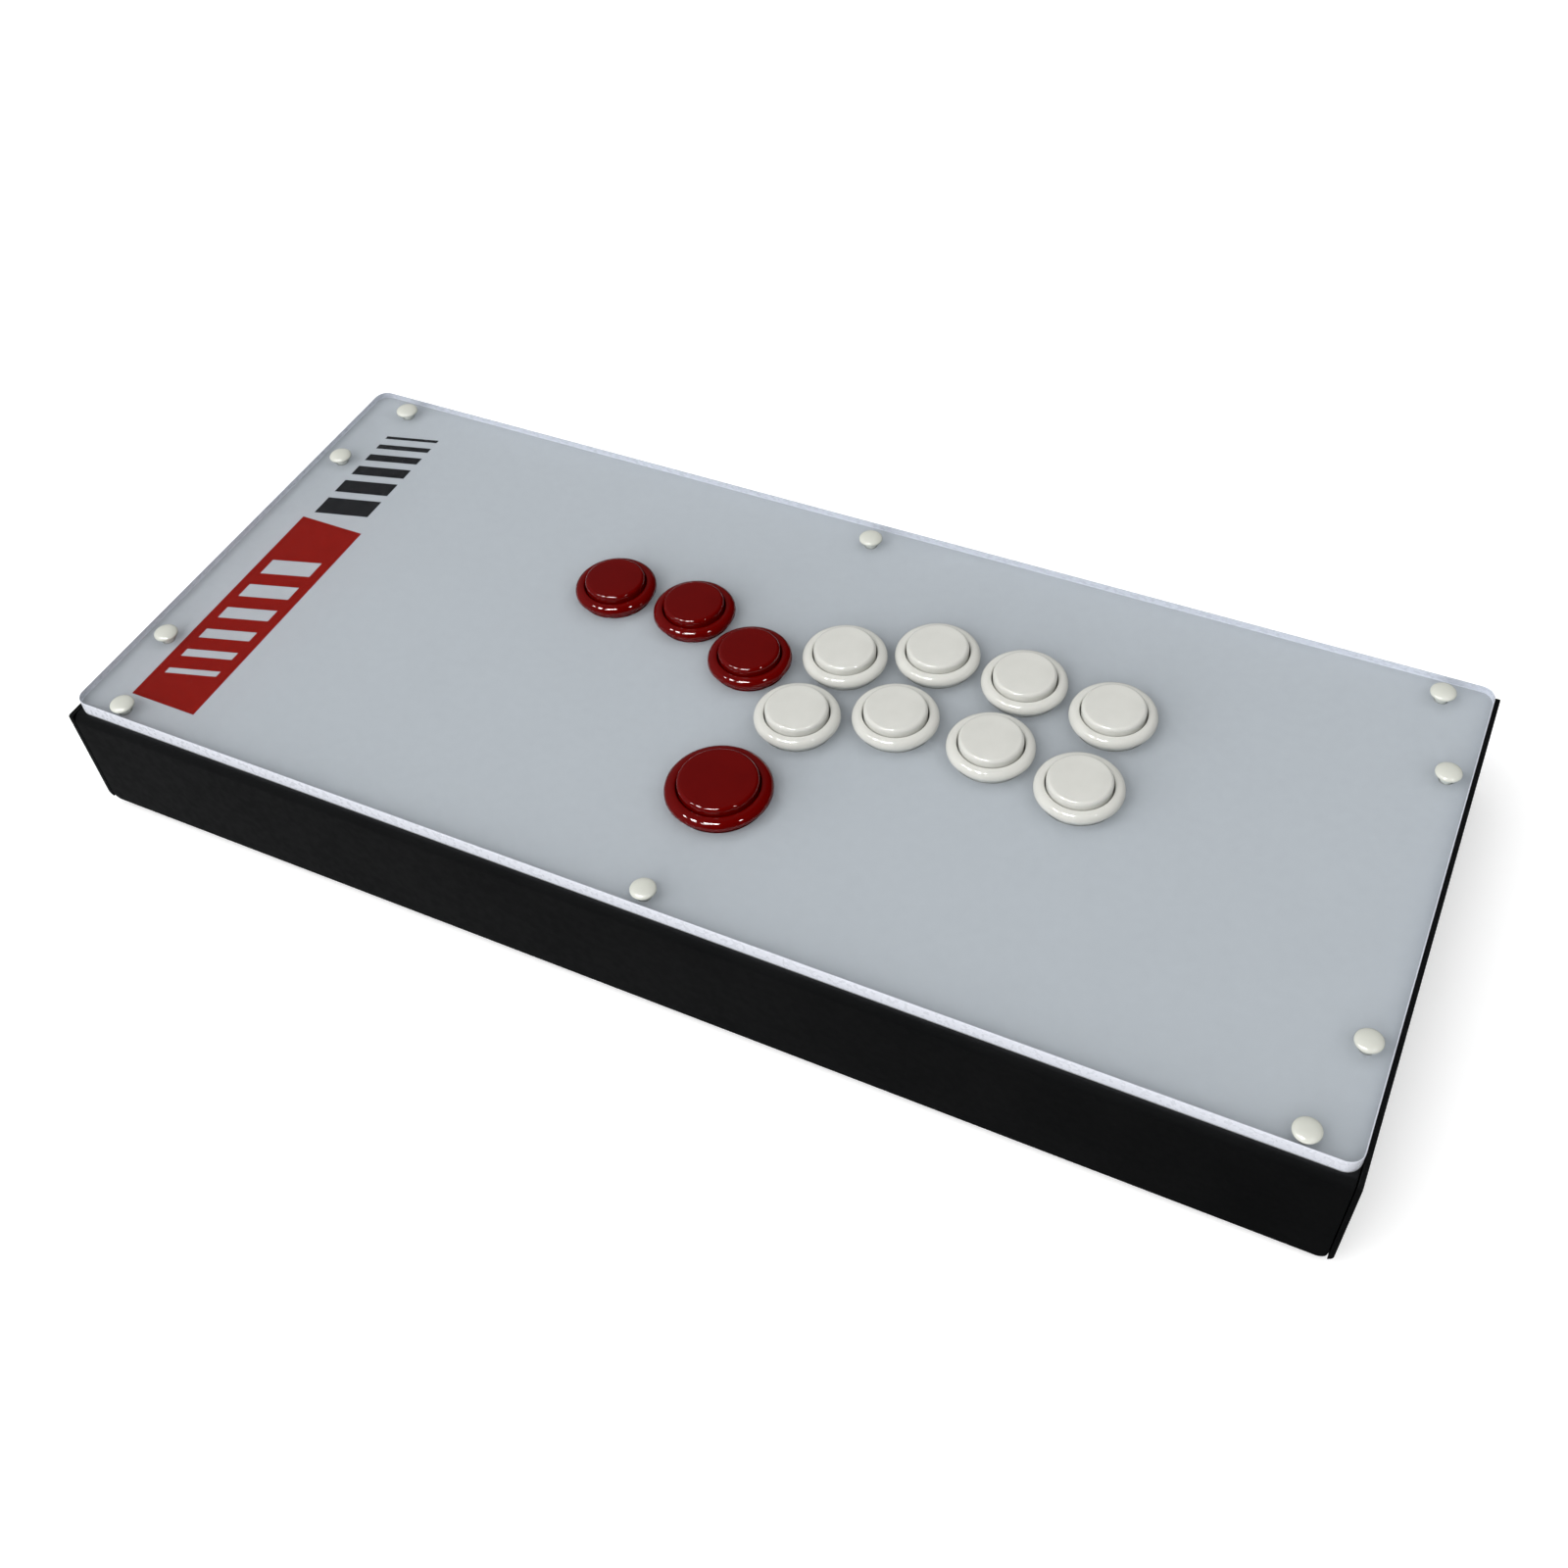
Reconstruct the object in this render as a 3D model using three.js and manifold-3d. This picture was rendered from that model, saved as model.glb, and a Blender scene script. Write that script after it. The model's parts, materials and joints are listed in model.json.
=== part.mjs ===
// An all-button arcade controller: a folded steel case with a clear cover over a printed sheet,
// twelve snap-in push buttons with their switches, nylon panel rivets, a control board with its
// cable socket, and three small function buttons in the rear wall. Millimetres, +Z up, +Y to the rear.
import * as THREE from "three";
import { mergeVertices } from "three/addons/utils/BufferGeometryUtils.js";
import Module from "manifold-3d";

const wasm = await Module();
wasm.setup();

// ---------------------------------------------------------------- driving dimensions
const CASE_WIDTH = 421.2;
const CASE_DEPTH = 185;
const CASE_HEIGHT = 40.5;
const SHEET = 1.5; // steel thickness
const BEND = 3; // outside radius of a fold
const FIT_GAP = 0.3; // between the two folded parts
const REST_GAP = 0.05; // between parts laid on each other

const FOOT_HEIGHT = 3;
const FOOT_RADIUS = 9;
const FOOT_X = 185;
const FOOT_Y = 74;

const COVER_WIDTH = 417.5;
const COVER_DEPTH = 179;
const COVER_THICKNESS = 4.8;
const COVER_CORNER = 4.5;
const ART_THICKNESS = 0.2;

const CASE_BOTTOM = FOOT_HEIGHT;
const CASE_TOP = CASE_BOTTOM + CASE_HEIGHT;
const ART_BOTTOM = CASE_TOP + REST_GAP;
const COVER_BOTTOM = ART_BOTTOM + ART_THICKNESS + REST_GAP;
const PANEL_TOP = COVER_BOTTOM + COVER_THICKNESS;
const PANEL_STACK = PANEL_TOP - CASE_TOP + SHEET;

// Two sizes of snap-in button, as radii.
const SIZE_24 = { hole: 12.15, bezel: 13.8, barrel: 11.8, bore: 11.1, mouth: 10.5, cap: 10.1 };
const SIZE_30 = { hole: 15.15, bezel: 16.85, barrel: 14.8, bore: 13.9, mouth: 13.1, cap: 12.7 };
const BEZEL_HEIGHT = 2.6;
const CAP_HEIGHT = 5; // top of a released plunger above the cover
const SHOULDER_DEPTH = 5; // underside of the mouth, which holds the plunger in
const FLOOR_DEPTH = 18;
const FLOOR_THICKNESS = 2;
const FLOOR_HOLE = 7.6;
const CAP_WALL = 1.2;
const STEM_RADIUS = 1.4;
const STEM_DEPTH = 16.3;

// Button centres from the centre of the cover.
const BUTTONS = [
  { name: "left", x: -69.1, y: 25.6, size: SIZE_24, color: "red" },
  { name: "down", x: -39, y: 25.5, size: SIZE_24, color: "red" },
  { name: "right", x: -12.1, y: 12.6, size: SIZE_24, color: "red" },
  { name: "jump", x: 3.8, y: -41, size: SIZE_30, color: "red" },
  { name: "upper_1", x: 16.2, y: 25, size: SIZE_24, color: "white" },
  { name: "upper_2", x: 43.5, y: 37.1, size: SIZE_24, color: "white" },
  { name: "upper_3", x: 73.4, y: 36.2, size: SIZE_24, color: "white" },
  { name: "upper_4", x: 103.6, y: 33.2, size: SIZE_24, color: "white" },
  { name: "lower_1", x: 13.1, y: -4.9, size: SIZE_24, color: "white" },
  { name: "lower_2", x: 41.7, y: 6.7, size: SIZE_24, color: "white" },
  { name: "lower_3", x: 73.4, y: 6.5, size: SIZE_24, color: "white" },
  { name: "lower_4", x: 103.6, y: 1.2, size: SIZE_24, color: "white" },
];

// Panel rivets: a pair near each corner and one in the middle of each long side.
const RIVET_CENTRE = { x: 0.9, y: -1.5 };
const RIVET_CORNER = { x: 192.8, y: 83.3 };
const RIVET_SIDE = { x: 200.9, y: 50.9 };
const RIVET_MIDDLE_Y = 82.5;
const RIVET_HOLE = 2.3;
const RIVET_SHANK = 2;
const RIVET_HEAD = 4;
const RIVET_DOME = 1.7;

// Posts under the top, which the screws through the base hold.
const POST_X = 180;
const POST_Y = 60;
const POST_RADIUS = 3.5;
const SCREW_HOLE = 1.8;

// Control board, on four stand-offs of the base.
const BOARD = { x: -135, y: 61, width: 70, depth: 54, thickness: 1.6, bottom: 10 };
const STANDOFF_RADIUS = 2.5;
const STANDOFF_INSET = 5;

// Square cable socket on the board, flush with the rear wall.
const SOCKET = { width: 16, height: 14.6, depth: 16 };
const SOCKET_MOUTH = { width: 12, height: 10.6, depth: 11, clearDepth: 6 };
const SOCKET_TONGUE = { width: 6.4, height: 4.8 };

// Function buttons in the rear wall, pressed towards -Y.
const FUNCTION_X = 125;
const FUNCTION_PITCH = 18;
const FUNCTION_Z = 27;
const FUNCTION_CAP = { radius: 3.5, flange: 4.5, hole: 3.9, proud: 1.6, flangeThickness: 1.2, nub: 1.2 };
const FUNCTION_BOARD = { width: 64, height: 13, thickness: 1.6, fromWall: 6.2 };
const FUNCTION_SWITCH = { side: 6, hole: 1.6, holeDepth: 1.2 };
const FUNCTION_POST_RADIUS = 2;

const ROUND_STEPS = 16;
const SMALL_STEPS = 8;

// ---------------------------------------------------------------- materials
function material(color, roughness, metalness = 0) {
  return new THREE.MeshStandardMaterial({ color, roughness, metalness });
}

const COATED_STEEL = material(0x101112, 0.55, 0.3);
const CLEAR_COVER = material(0xdfe4ea, 0.08);
const PRINTED_SHEET = material(0xc4c9d1, 0.6);
const NYLON = material(0xe6e5df, 0.35);
const RUBBER = material(0x151515, 0.9);
const SWITCH_BODY = material(0x1c1c1e, 0.6);
const BOARD_GREEN = material(0x1d4a2c, 0.5);
const SOCKET_BLACK = material(0x18181a, 0.45);
const CAP_BLACK = material(0x202022, 0.4);
const BUTTON_PLASTIC = { red: material(0xa01010, 0.2), white: material(0xe4e4df, 0.22) };

// ---------------------------------------------------------------- solids
function toSolid(geometry) {
  const bare = new THREE.BufferGeometry();
  const source = geometry.index ? geometry.toNonIndexed() : geometry;
  bare.setAttribute("position", source.getAttribute("position"));
  const merged = mergeVertices(bare, 1e-3);
  return new wasm.Manifold(
    new wasm.Mesh({
      numProp: 3,
      vertProperties: merged.attributes.position.array,
      triVerts: new Uint32Array(merged.index.array),
    }),
  );
}

function toGeometry(solid) {
  const mesh = solid.getMesh();
  const geometry = new THREE.BufferGeometry();
  geometry.setAttribute("position", new THREE.BufferAttribute(mesh.vertProperties, 3));
  geometry.setIndex(new THREE.BufferAttribute(mesh.triVerts, 1));
  geometry.computeVertexNormals();
  return geometry;
}

// A box between two corners.
function block(x0, x1, y0, y1, z0, z1) {
  const geometry = new THREE.BoxGeometry(x1 - x0, y1 - y0, z1 - z0);
  return toSolid(geometry.translate((x0 + x1) / 2, (y0 + y1) / 2, (z0 + z1) / 2));
}

// An upright cylinder.
function rod(x, y, z0, z1, radius, steps) {
  const geometry = new THREE.CylinderGeometry(radius, radius, z1 - z0, steps);
  return toSolid(geometry.rotateX(Math.PI / 2).translate(x, y, (z0 + z1) / 2));
}

// A cylinder along Y.
function crossRod(x, z, y0, y1, radius, steps) {
  const geometry = new THREE.CylinderGeometry(radius, radius, y1 - y0, steps);
  return toSolid(geometry.translate(x, (y0 + y1) / 2, z));
}

// A profile of [radius, height] points turned about the Z axis. It runs from the axis at the
// bottom round the outside to the axis at the top, or closes on itself the same way round.
function turned(profile, steps) {
  const points = profile.map(([r, z]) => new THREE.Vector2(r, z));
  return new THREE.LatheGeometry(points, steps).rotateX(Math.PI / 2);
}

function closedRing(profile, steps) {
  return turned([...profile, profile[0]], steps);
}

function roundedPlate(width, depth, corner, z0, thickness) {
  const x = width / 2;
  const y = depth / 2;
  const outline = new THREE.Shape();
  outline.absarc(x - corner, y - corner, corner, 0, Math.PI / 2);
  outline.absarc(-x + corner, y - corner, corner, Math.PI / 2, Math.PI);
  outline.absarc(-x + corner, -y + corner, corner, Math.PI, 1.5 * Math.PI);
  outline.absarc(x - corner, -y + corner, corner, 1.5 * Math.PI, 2 * Math.PI);
  const options = { depth: thickness, bevelEnabled: false, curveSegments: 5 };
  return toSolid(new THREE.ExtrudeGeometry(outline, options).translate(0, 0, z0));
}

// A sheet folded twice into a channel that opens downwards, as an outline of the given size.
function channelOutline(width, height) {
  const half = width / 2;
  const inner = BEND - SHEET;
  const outline = new THREE.Shape();
  outline.moveTo(half, 0);
  outline.absarc(half - BEND, height - BEND, BEND, 0, Math.PI / 2);
  outline.absarc(-half + BEND, height - BEND, BEND, Math.PI / 2, Math.PI);
  outline.lineTo(-half, 0);
  outline.lineTo(-half + SHEET, 0);
  outline.absarc(-half + BEND, height - BEND, inner, Math.PI, Math.PI / 2, true);
  outline.absarc(half - BEND, height - BEND, inner, Math.PI / 2, 0, true);
  outline.lineTo(half - SHEET, 0);
  return outline;
}

// The channel as a solid: across, up and along are the directions of its width, height and length.
function channel(width, height, length, across, up, along) {
  const options = { depth: length, bevelEnabled: false, curveSegments: 5 };
  const geometry = new THREE.ExtrudeGeometry(channelOutline(width, height), options);
  geometry.translate(0, 0, -length / 2);
  return toSolid(geometry.applyMatrix4(new THREE.Matrix4().makeBasis(across, up, along)));
}

const model = new THREE.Group();

function addNode(name, geometry, look) {
  const mesh = new THREE.Mesh(geometry, look);
  mesh.name = name;
  model.add(mesh);
  return mesh;
}

// ---------------------------------------------------------------- hole pattern
function rivetPlaces() {
  const places = [];
  for (const [end, sx] of [["left", -1], ["right", 1]]) {
    for (const [side, sy] of [["front", -1], ["rear", 1]]) {
      places.push({ name: `${side}_${end}_corner`, x: sx * RIVET_CORNER.x, y: sy * RIVET_CORNER.y });
      places.push({ name: `${side}_${end}_side`, x: sx * RIVET_SIDE.x, y: sy * RIVET_SIDE.y });
    }
  }
  places.push({ name: "front_middle", x: 0, y: -RIVET_MIDDLE_Y });
  places.push({ name: "rear_middle", x: 0, y: RIVET_MIDDLE_Y });
  return places.map((p) => ({ name: p.name, x: p.x + RIVET_CENTRE.x, y: p.y + RIVET_CENTRE.y }));
}

const RIVETS = rivetPlaces();

// Cuts the button and rivet holes through whatever lies between two heights.
function punched(solid, z0, z1) {
  let result = solid;
  for (const b of BUTTONS) {
    result = result.subtract(rod(b.x, b.y, z0 - 1, z1 + 1, b.size.hole, ROUND_STEPS));
  }
  for (const r of RIVETS) {
    result = result.subtract(rod(r.x, r.y, z0 - 1, z1 + 1, RIVET_HOLE, SMALL_STEPS));
  }
  return result;
}

// ---------------------------------------------------------------- cover and printed sheet
function makeCover() {
  const sheetPlate = roundedPlate(COVER_WIDTH, COVER_DEPTH, COVER_CORNER, ART_BOTTOM, ART_THICKNESS);
  const coverPlate = roundedPlate(COVER_WIDTH, COVER_DEPTH, COVER_CORNER, COVER_BOTTOM, COVER_THICKNESS);
  addNode("art_sheet", toGeometry(punched(sheetPlate, ART_BOTTOM, COVER_BOTTOM)), PRINTED_SHEET);
  addNode("acrylic_cover", toGeometry(punched(coverPlate, COVER_BOTTOM, PANEL_TOP)), CLEAR_COVER);
}

// ---------------------------------------------------------------- case
const X_AXIS = new THREE.Vector3(1, 0, 0);
const Y_AXIS = new THREE.Vector3(0, 1, 0);
const Z_AXIS = new THREE.Vector3(0, 0, 1);
const WALL_INSIDE = CASE_DEPTH / 2 - SHEET;
const SOCKET_Z = BOARD.bottom + BOARD.thickness + REST_GAP + SOCKET.height / 2;

function functionPlaces() {
  return [-1, 0, 1].map((step) => FUNCTION_X + step * FUNCTION_PITCH);
}

// Top, front wall and rear wall, folded from one sheet, with posts and studs welded inside.
function makeTopShell() {
  const length = CASE_WIDTH - 2 * (SHEET + FIT_GAP);
  let shell = channel(CASE_DEPTH, CASE_HEIGHT, length, Y_AXIS, Z_AXIS, X_AXIS);
  shell = shell.translate([0, 0, CASE_BOTTOM]);
  for (const x of [-POST_X, POST_X]) {
    for (const y of [-POST_Y, POST_Y]) {
      const foot = CASE_BOTTOM + SHEET + REST_GAP;
      shell = shell.add(rod(x, y, foot, CASE_TOP - SHEET / 2, POST_RADIUS, SMALL_STEPS));
    }
  }
  for (const x of [-1, 1].map((side) => FUNCTION_X + side * (FUNCTION_BOARD.width / 2 - 4))) {
    const tip = WALL_INSIDE - FUNCTION_BOARD.fromWall + REST_GAP;
    const root = WALL_INSIDE + SHEET / 2;
    shell = shell.add(crossRod(x, FUNCTION_Z, tip, root, FUNCTION_POST_RADIUS, SMALL_STEPS));
  }
  shell = punched(shell, CASE_TOP - SHEET, CASE_TOP);
  const gap = FIT_GAP;
  shell = shell.subtract(block(
    BOARD.x - SOCKET.width / 2 - gap, BOARD.x + SOCKET.width / 2 + gap,
    WALL_INSIDE - 1, WALL_INSIDE + SHEET + 1,
    SOCKET_Z - SOCKET.height / 2 - gap, SOCKET_Z + SOCKET.height / 2 + gap,
  ));
  for (const x of functionPlaces()) {
    const outside = WALL_INSIDE + SHEET + 1;
    shell = shell.subtract(crossRod(x, FUNCTION_Z, WALL_INSIDE - 1, outside, FUNCTION_CAP.hole, SMALL_STEPS));
  }
  addNode("top_shell", toGeometry(shell), COATED_STEEL);
}

// Bottom and both end walls, folded from one sheet. The bottom stops short of the front and rear walls.
function makeBaseTray() {
  let tray = channel(CASE_WIDTH, CASE_HEIGHT, CASE_DEPTH, X_AXIS, Z_AXIS.clone().negate(), Y_AXIS);
  tray = tray.translate([0, 0, CASE_TOP]);
  const halfInside = CASE_WIDTH / 2 - SHEET;
  const stop = WALL_INSIDE - FIT_GAP;
  for (const [y0, y1] of [[-CASE_DEPTH, -stop], [stop, CASE_DEPTH]]) {
    tray = tray.subtract(block(-halfInside, halfInside, y0, y1, 0, CASE_BOTTOM + BEND));
  }
  for (const sx of [-1, 1]) {
    for (const sy of [-1, 1]) {
      const x = BOARD.x + sx * (BOARD.width / 2 - STANDOFF_INSET);
      const y = BOARD.y + sy * (BOARD.depth / 2 - STANDOFF_INSET);
      const tip = BOARD.bottom - REST_GAP;
      tray = tray.add(rod(x, y, CASE_BOTTOM + SHEET / 2, tip, STANDOFF_RADIUS, SMALL_STEPS));
      tray = tray.subtract(rod(sx * POST_X, sy * POST_Y, 0, CASE_BOTTOM + BEND, SCREW_HOLE, SMALL_STEPS));
    }
  }
  addNode("base_tray", toGeometry(tray), COATED_STEEL);
}

function makeFeet() {
  const top = FOOT_HEIGHT - REST_GAP;
  const profile = [[0, 0], [FOOT_RADIUS - 1, 0], [FOOT_RADIUS, top], [0, top]];
  for (const [end, sx] of [["left", -1], ["right", 1]]) {
    for (const [side, sy] of [["front", -1], ["rear", 1]]) {
      const foot = addNode(`foot_${side}_${end}`, turned(profile, ROUND_STEPS), RUBBER);
      foot.position.set(sx * FOOT_X, sy * FOOT_Y, 0);
    }
  }
}

function makeRivets() {
  const under = -PANEL_STACK - REST_GAP;
  const profile = [
    [0, under - 2.8], [1.9, under - 2.8], [2.7, under], [RIVET_SHANK, under],
    [RIVET_SHANK, REST_GAP], [RIVET_HEAD, REST_GAP], [RIVET_HEAD * 0.82, RIVET_DOME * 0.6],
    [RIVET_HEAD * 0.45, RIVET_DOME * 0.93], [0, RIVET_DOME],
  ];
  for (const place of RIVETS) {
    const rivet = addNode(`rivet_${place.name}`, turned(profile, SMALL_STEPS), NYLON);
    rivet.position.set(place.x, place.y, PANEL_TOP);
  }
}

// ---------------------------------------------------------------- push buttons
// Bezel and barrel in one moulding, with two snap lugs that hold it under the steel.
function buttonHousing(size) {
  const floorTop = -FLOOR_DEPTH;
  const floorBottom = floorTop - FLOOR_THICKNESS;
  const ring = closedRing([
    [FLOOR_HOLE, floorBottom], [size.barrel, floorBottom], [size.barrel, REST_GAP],
    [size.bezel, REST_GAP], [size.bezel - 0.5, 1.6], [size.bezel - 1.6, BEZEL_HEIGHT],
    [size.mouth + 0.6, BEZEL_HEIGHT], [size.mouth, BEZEL_HEIGHT - 0.8], [size.mouth, -SHOULDER_DEPTH],
    [size.bore, -SHOULDER_DEPTH], [size.bore, floorTop], [FLOOR_HOLE, floorTop],
  ], ROUND_STEPS);
  let housing = toSolid(ring);
  const lugTop = -PANEL_STACK - 0.15;
  for (const side of [-1, 1]) {
    const x0 = side < 0 ? -size.hole - 0.9 : size.barrel - 0.3;
    const lug = block(x0, x0 + size.hole - size.barrel + 1.2, -3, 3, lugTop - 3, lugTop);
    housing = housing.add(lug);
  }
  return toGeometry(housing);
}

// Hollow cap with a flange that stops it under the mouth, and a stem that works the switch.
function buttonPlunger(size) {
  const flange = size.bore - 0.3;
  const flangeTop = -SHOULDER_DEPTH - 0.3;
  const flangeBottom = flangeTop - 1.5;
  const inside = size.cap - CAP_WALL;
  const ceiling = CAP_HEIGHT - 1.8;
  return turned([
    [0, -STEM_DEPTH], [STEM_RADIUS, -STEM_DEPTH], [STEM_RADIUS, ceiling], [inside, ceiling],
    [inside, flangeBottom], [flange, flangeBottom], [flange, flangeTop], [size.cap, flangeTop],
    [size.cap, CAP_HEIGHT - 1], [size.cap - 0.9, CAP_HEIGHT], [0, CAP_HEIGHT],
  ], ROUND_STEPS);
}

// Switch body that hangs in the housing floor, with a well for the stem and two tab terminals.
function buttonSwitch() {
  const rim = -FLOOR_DEPTH + REST_GAP;
  let body = block(-8, 8, -4.4, 4.4, rim, rim + 1.1);
  body = body.add(block(-6.3, 6.3, -2.9, 2.9, rim - 6, rim + 0.5));
  for (const x of [-2.6, 2.6]) {
    body = body.add(block(x - 0.3, x + 0.3, -1.5, 1.5, rim - 13, rim - 5.5));
  }
  return toGeometry(body.subtract(rod(0, 0, rim - 4.2, rim + 2, STEM_RADIUS + 0.4, SMALL_STEPS)));
}

function makeButtons() {
  for (const b of BUTTONS) {
    const plastic = BUTTON_PLASTIC[b.color];
    const pieces = [
      addNode(`housing_${b.name}`, buttonHousing(b.size), plastic),
      addNode(`plunger_${b.name}`, buttonPlunger(b.size), plastic),
      addNode(`switch_${b.name}`, buttonSwitch(), SWITCH_BODY),
    ];
    for (const piece of pieces) piece.position.set(b.x, b.y, PANEL_TOP);
  }
}

// ---------------------------------------------------------------- electronics
function makeControlBoard() {
  const top = BOARD.bottom + BOARD.thickness;
  const x0 = BOARD.x - BOARD.width / 2;
  const y0 = BOARD.y - BOARD.depth / 2;
  const sunk = top - 0.2;
  let board = block(x0, x0 + BOARD.width, y0, y0 + BOARD.depth, BOARD.bottom, top);
  board = board.add(block(BOARD.x - 18, BOARD.x - 6, BOARD.y - 14, BOARD.y - 2, sunk, top + 1.4));
  board = board.add(block(BOARD.x + 8, BOARD.x + 13, BOARD.y - 8, BOARD.y - 4, sunk, top + 1.2));
  board = board.add(block(x0 + 10, x0 + BOARD.width - 10, y0 + 2, y0 + 7, sunk, top + 8));
  addNode("control_board", toGeometry(board), BOARD_GREEN);
}

function makeSocket() {
  const face = CASE_DEPTH / 2 - 0.2;
  const x = SOCKET.width / 2;
  const z = SOCKET.height / 2;
  const mouthX = SOCKET_MOUTH.width / 2;
  const mouthZ = SOCKET_MOUTH.height / 2;
  const mouthBack = face - SOCKET_MOUTH.depth;
  const tongueX = SOCKET_TONGUE.width / 2;
  const tongueZ = SOCKET_TONGUE.height / 2;
  const shell = block(-x, x, face - SOCKET.depth, face, -z, z);
  const mouth = block(-mouthX, mouthX, mouthBack, face + 1, -mouthZ, mouthZ);
  const tongueTip = face - SOCKET_MOUTH.clearDepth;
  const tongue = block(-tongueX, tongueX, mouthBack - 1, tongueTip, -tongueZ, tongueZ);
  const socket = addNode("usb_socket", toGeometry(shell.subtract(mouth).add(tongue)), SOCKET_BLACK);
  socket.position.set(BOARD.x, 0, SOCKET_Z);
}

// Upright board behind the rear wall with three tactile switches.
function makeFunctionBoard() {
  const front = WALL_INSIDE - FUNCTION_BOARD.fromWall;
  const halfWidth = FUNCTION_BOARD.width / 2;
  const halfHeight = FUNCTION_BOARD.height / 2;
  const switchFace = WALL_INSIDE - 2.8;
  let board = block(
    FUNCTION_X - halfWidth, FUNCTION_X + halfWidth,
    front - FUNCTION_BOARD.thickness, front,
    FUNCTION_Z - halfHeight, FUNCTION_Z + halfHeight,
  );
  const half = FUNCTION_SWITCH.side / 2;
  for (const x of functionPlaces()) {
    const sunk = front - 0.2;
    board = board.add(block(x - half, x + half, sunk, switchFace, FUNCTION_Z - half, FUNCTION_Z + half));
    const bottom = switchFace - FUNCTION_SWITCH.holeDepth;
    const hole = crossRod(x, FUNCTION_Z, bottom, switchFace + 1, FUNCTION_SWITCH.hole, SMALL_STEPS);
    board = board.subtract(hole);
  }
  addNode("function_board", toGeometry(board), BOARD_GREEN);
}

function makeFunctionCaps() {
  const cap = FUNCTION_CAP;
  const flangeFront = WALL_INSIDE - REST_GAP;
  const flangeBack = flangeFront - cap.flangeThickness;
  const face = CASE_DEPTH / 2 + cap.proud;
  const profile = [
    [0, flangeBack - 0.8], [cap.nub, flangeBack - 0.8], [cap.nub, flangeBack], [cap.flange, flangeBack],
    [cap.flange, flangeFront], [cap.radius, flangeFront], [cap.radius, face - 0.6], [cap.radius - 0.6, face],
    [0, face],
  ];
  functionPlaces().forEach((x, index) => {
    const button = addNode(`function_cap_${index + 1}`, turned(profile, SMALL_STEPS), CAP_BLACK);
    button.rotation.x = -Math.PI / 2;
    button.position.set(x, 0, FUNCTION_Z);
  });
}

makeBaseTray();
makeTopShell();
makeCover();
makeFeet();
makeRivets();
makeButtons();
makeControlBoard();
makeSocket();
makeFunctionBoard();
makeFunctionCaps();

// The function buttons stand proud of the rear wall: the origin is under the centre of the whole.
model.position.y = -FUNCTION_CAP.proud / 2;

export default model;
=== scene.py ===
# An all-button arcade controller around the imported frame: black folded steel case, clear cover over a
# printed sheet, domed rivets, red and white push buttons. Metres, +Z up, +Y to the rear.
import json
import math

import bmesh
import bpy
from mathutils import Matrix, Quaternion, Vector
from mathutils.geometry import delaunay_2d_cdt

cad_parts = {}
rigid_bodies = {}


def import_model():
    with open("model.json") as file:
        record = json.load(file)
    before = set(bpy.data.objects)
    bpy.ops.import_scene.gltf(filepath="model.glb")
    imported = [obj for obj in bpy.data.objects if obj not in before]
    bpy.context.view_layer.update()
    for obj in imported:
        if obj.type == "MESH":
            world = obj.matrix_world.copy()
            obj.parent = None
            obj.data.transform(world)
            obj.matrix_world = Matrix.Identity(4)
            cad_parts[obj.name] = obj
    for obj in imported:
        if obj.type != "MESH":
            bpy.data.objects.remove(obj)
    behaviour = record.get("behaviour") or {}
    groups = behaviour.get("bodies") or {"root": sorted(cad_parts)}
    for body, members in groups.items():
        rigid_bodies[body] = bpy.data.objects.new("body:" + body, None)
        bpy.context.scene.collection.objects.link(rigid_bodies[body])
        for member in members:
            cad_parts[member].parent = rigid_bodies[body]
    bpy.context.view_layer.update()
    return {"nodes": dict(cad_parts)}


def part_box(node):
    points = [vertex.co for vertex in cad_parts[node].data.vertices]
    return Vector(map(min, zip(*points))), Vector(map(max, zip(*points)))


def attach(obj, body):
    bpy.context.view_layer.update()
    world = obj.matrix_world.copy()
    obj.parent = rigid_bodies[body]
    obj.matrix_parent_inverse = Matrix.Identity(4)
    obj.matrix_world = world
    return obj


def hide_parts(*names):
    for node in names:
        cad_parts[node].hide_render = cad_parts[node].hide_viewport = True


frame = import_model()

MM = 0.001
SHEET = 1.5 * MM
BEND = 3 * MM
FIT_GAP = 0.3 * MM
CASE = "case"
BOARD_THICKNESS = 1.6 * MM
BUTTON_COLOURS = {
    "left": "red", "down": "red", "right": "red", "jump": "red",
    "upper_1": "white", "upper_2": "white", "upper_3": "white", "upper_4": "white",
    "lower_1": "white", "lower_2": "white", "lower_3": "white", "lower_4": "white",
}


# ---------------------------------------------------------------- mesh helpers
def centre_of(node):
    low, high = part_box(node)
    return (low + high) / 2


def new_object(name, data):
    piece = bpy.data.objects.new(name, data)
    bpy.context.scene.collection.objects.link(piece)
    return piece


def smooth(mesh, angle=32):
    mesh.polygons.foreach_set("use_smooth", [True] * len(mesh.polygons))
    mesh.set_sharp_from_angle(angle=math.radians(angle))
    return mesh


def mesh_from(name, bm):
    bmesh.ops.recalc_face_normals(bm, faces=bm.faces)
    mesh = bpy.data.meshes.new(name)
    bm.to_mesh(mesh)
    bm.free()
    return mesh


def arc(cx, cy, radius, start, end, steps):
    """Points on an arc, angles in degrees, both ends included."""
    points = []
    for i in range(steps + 1):
        a = math.radians(start + (end - start) * i / steps)
        points.append((cx + radius * math.cos(a), cy + radius * math.sin(a)))
    return points


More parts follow.
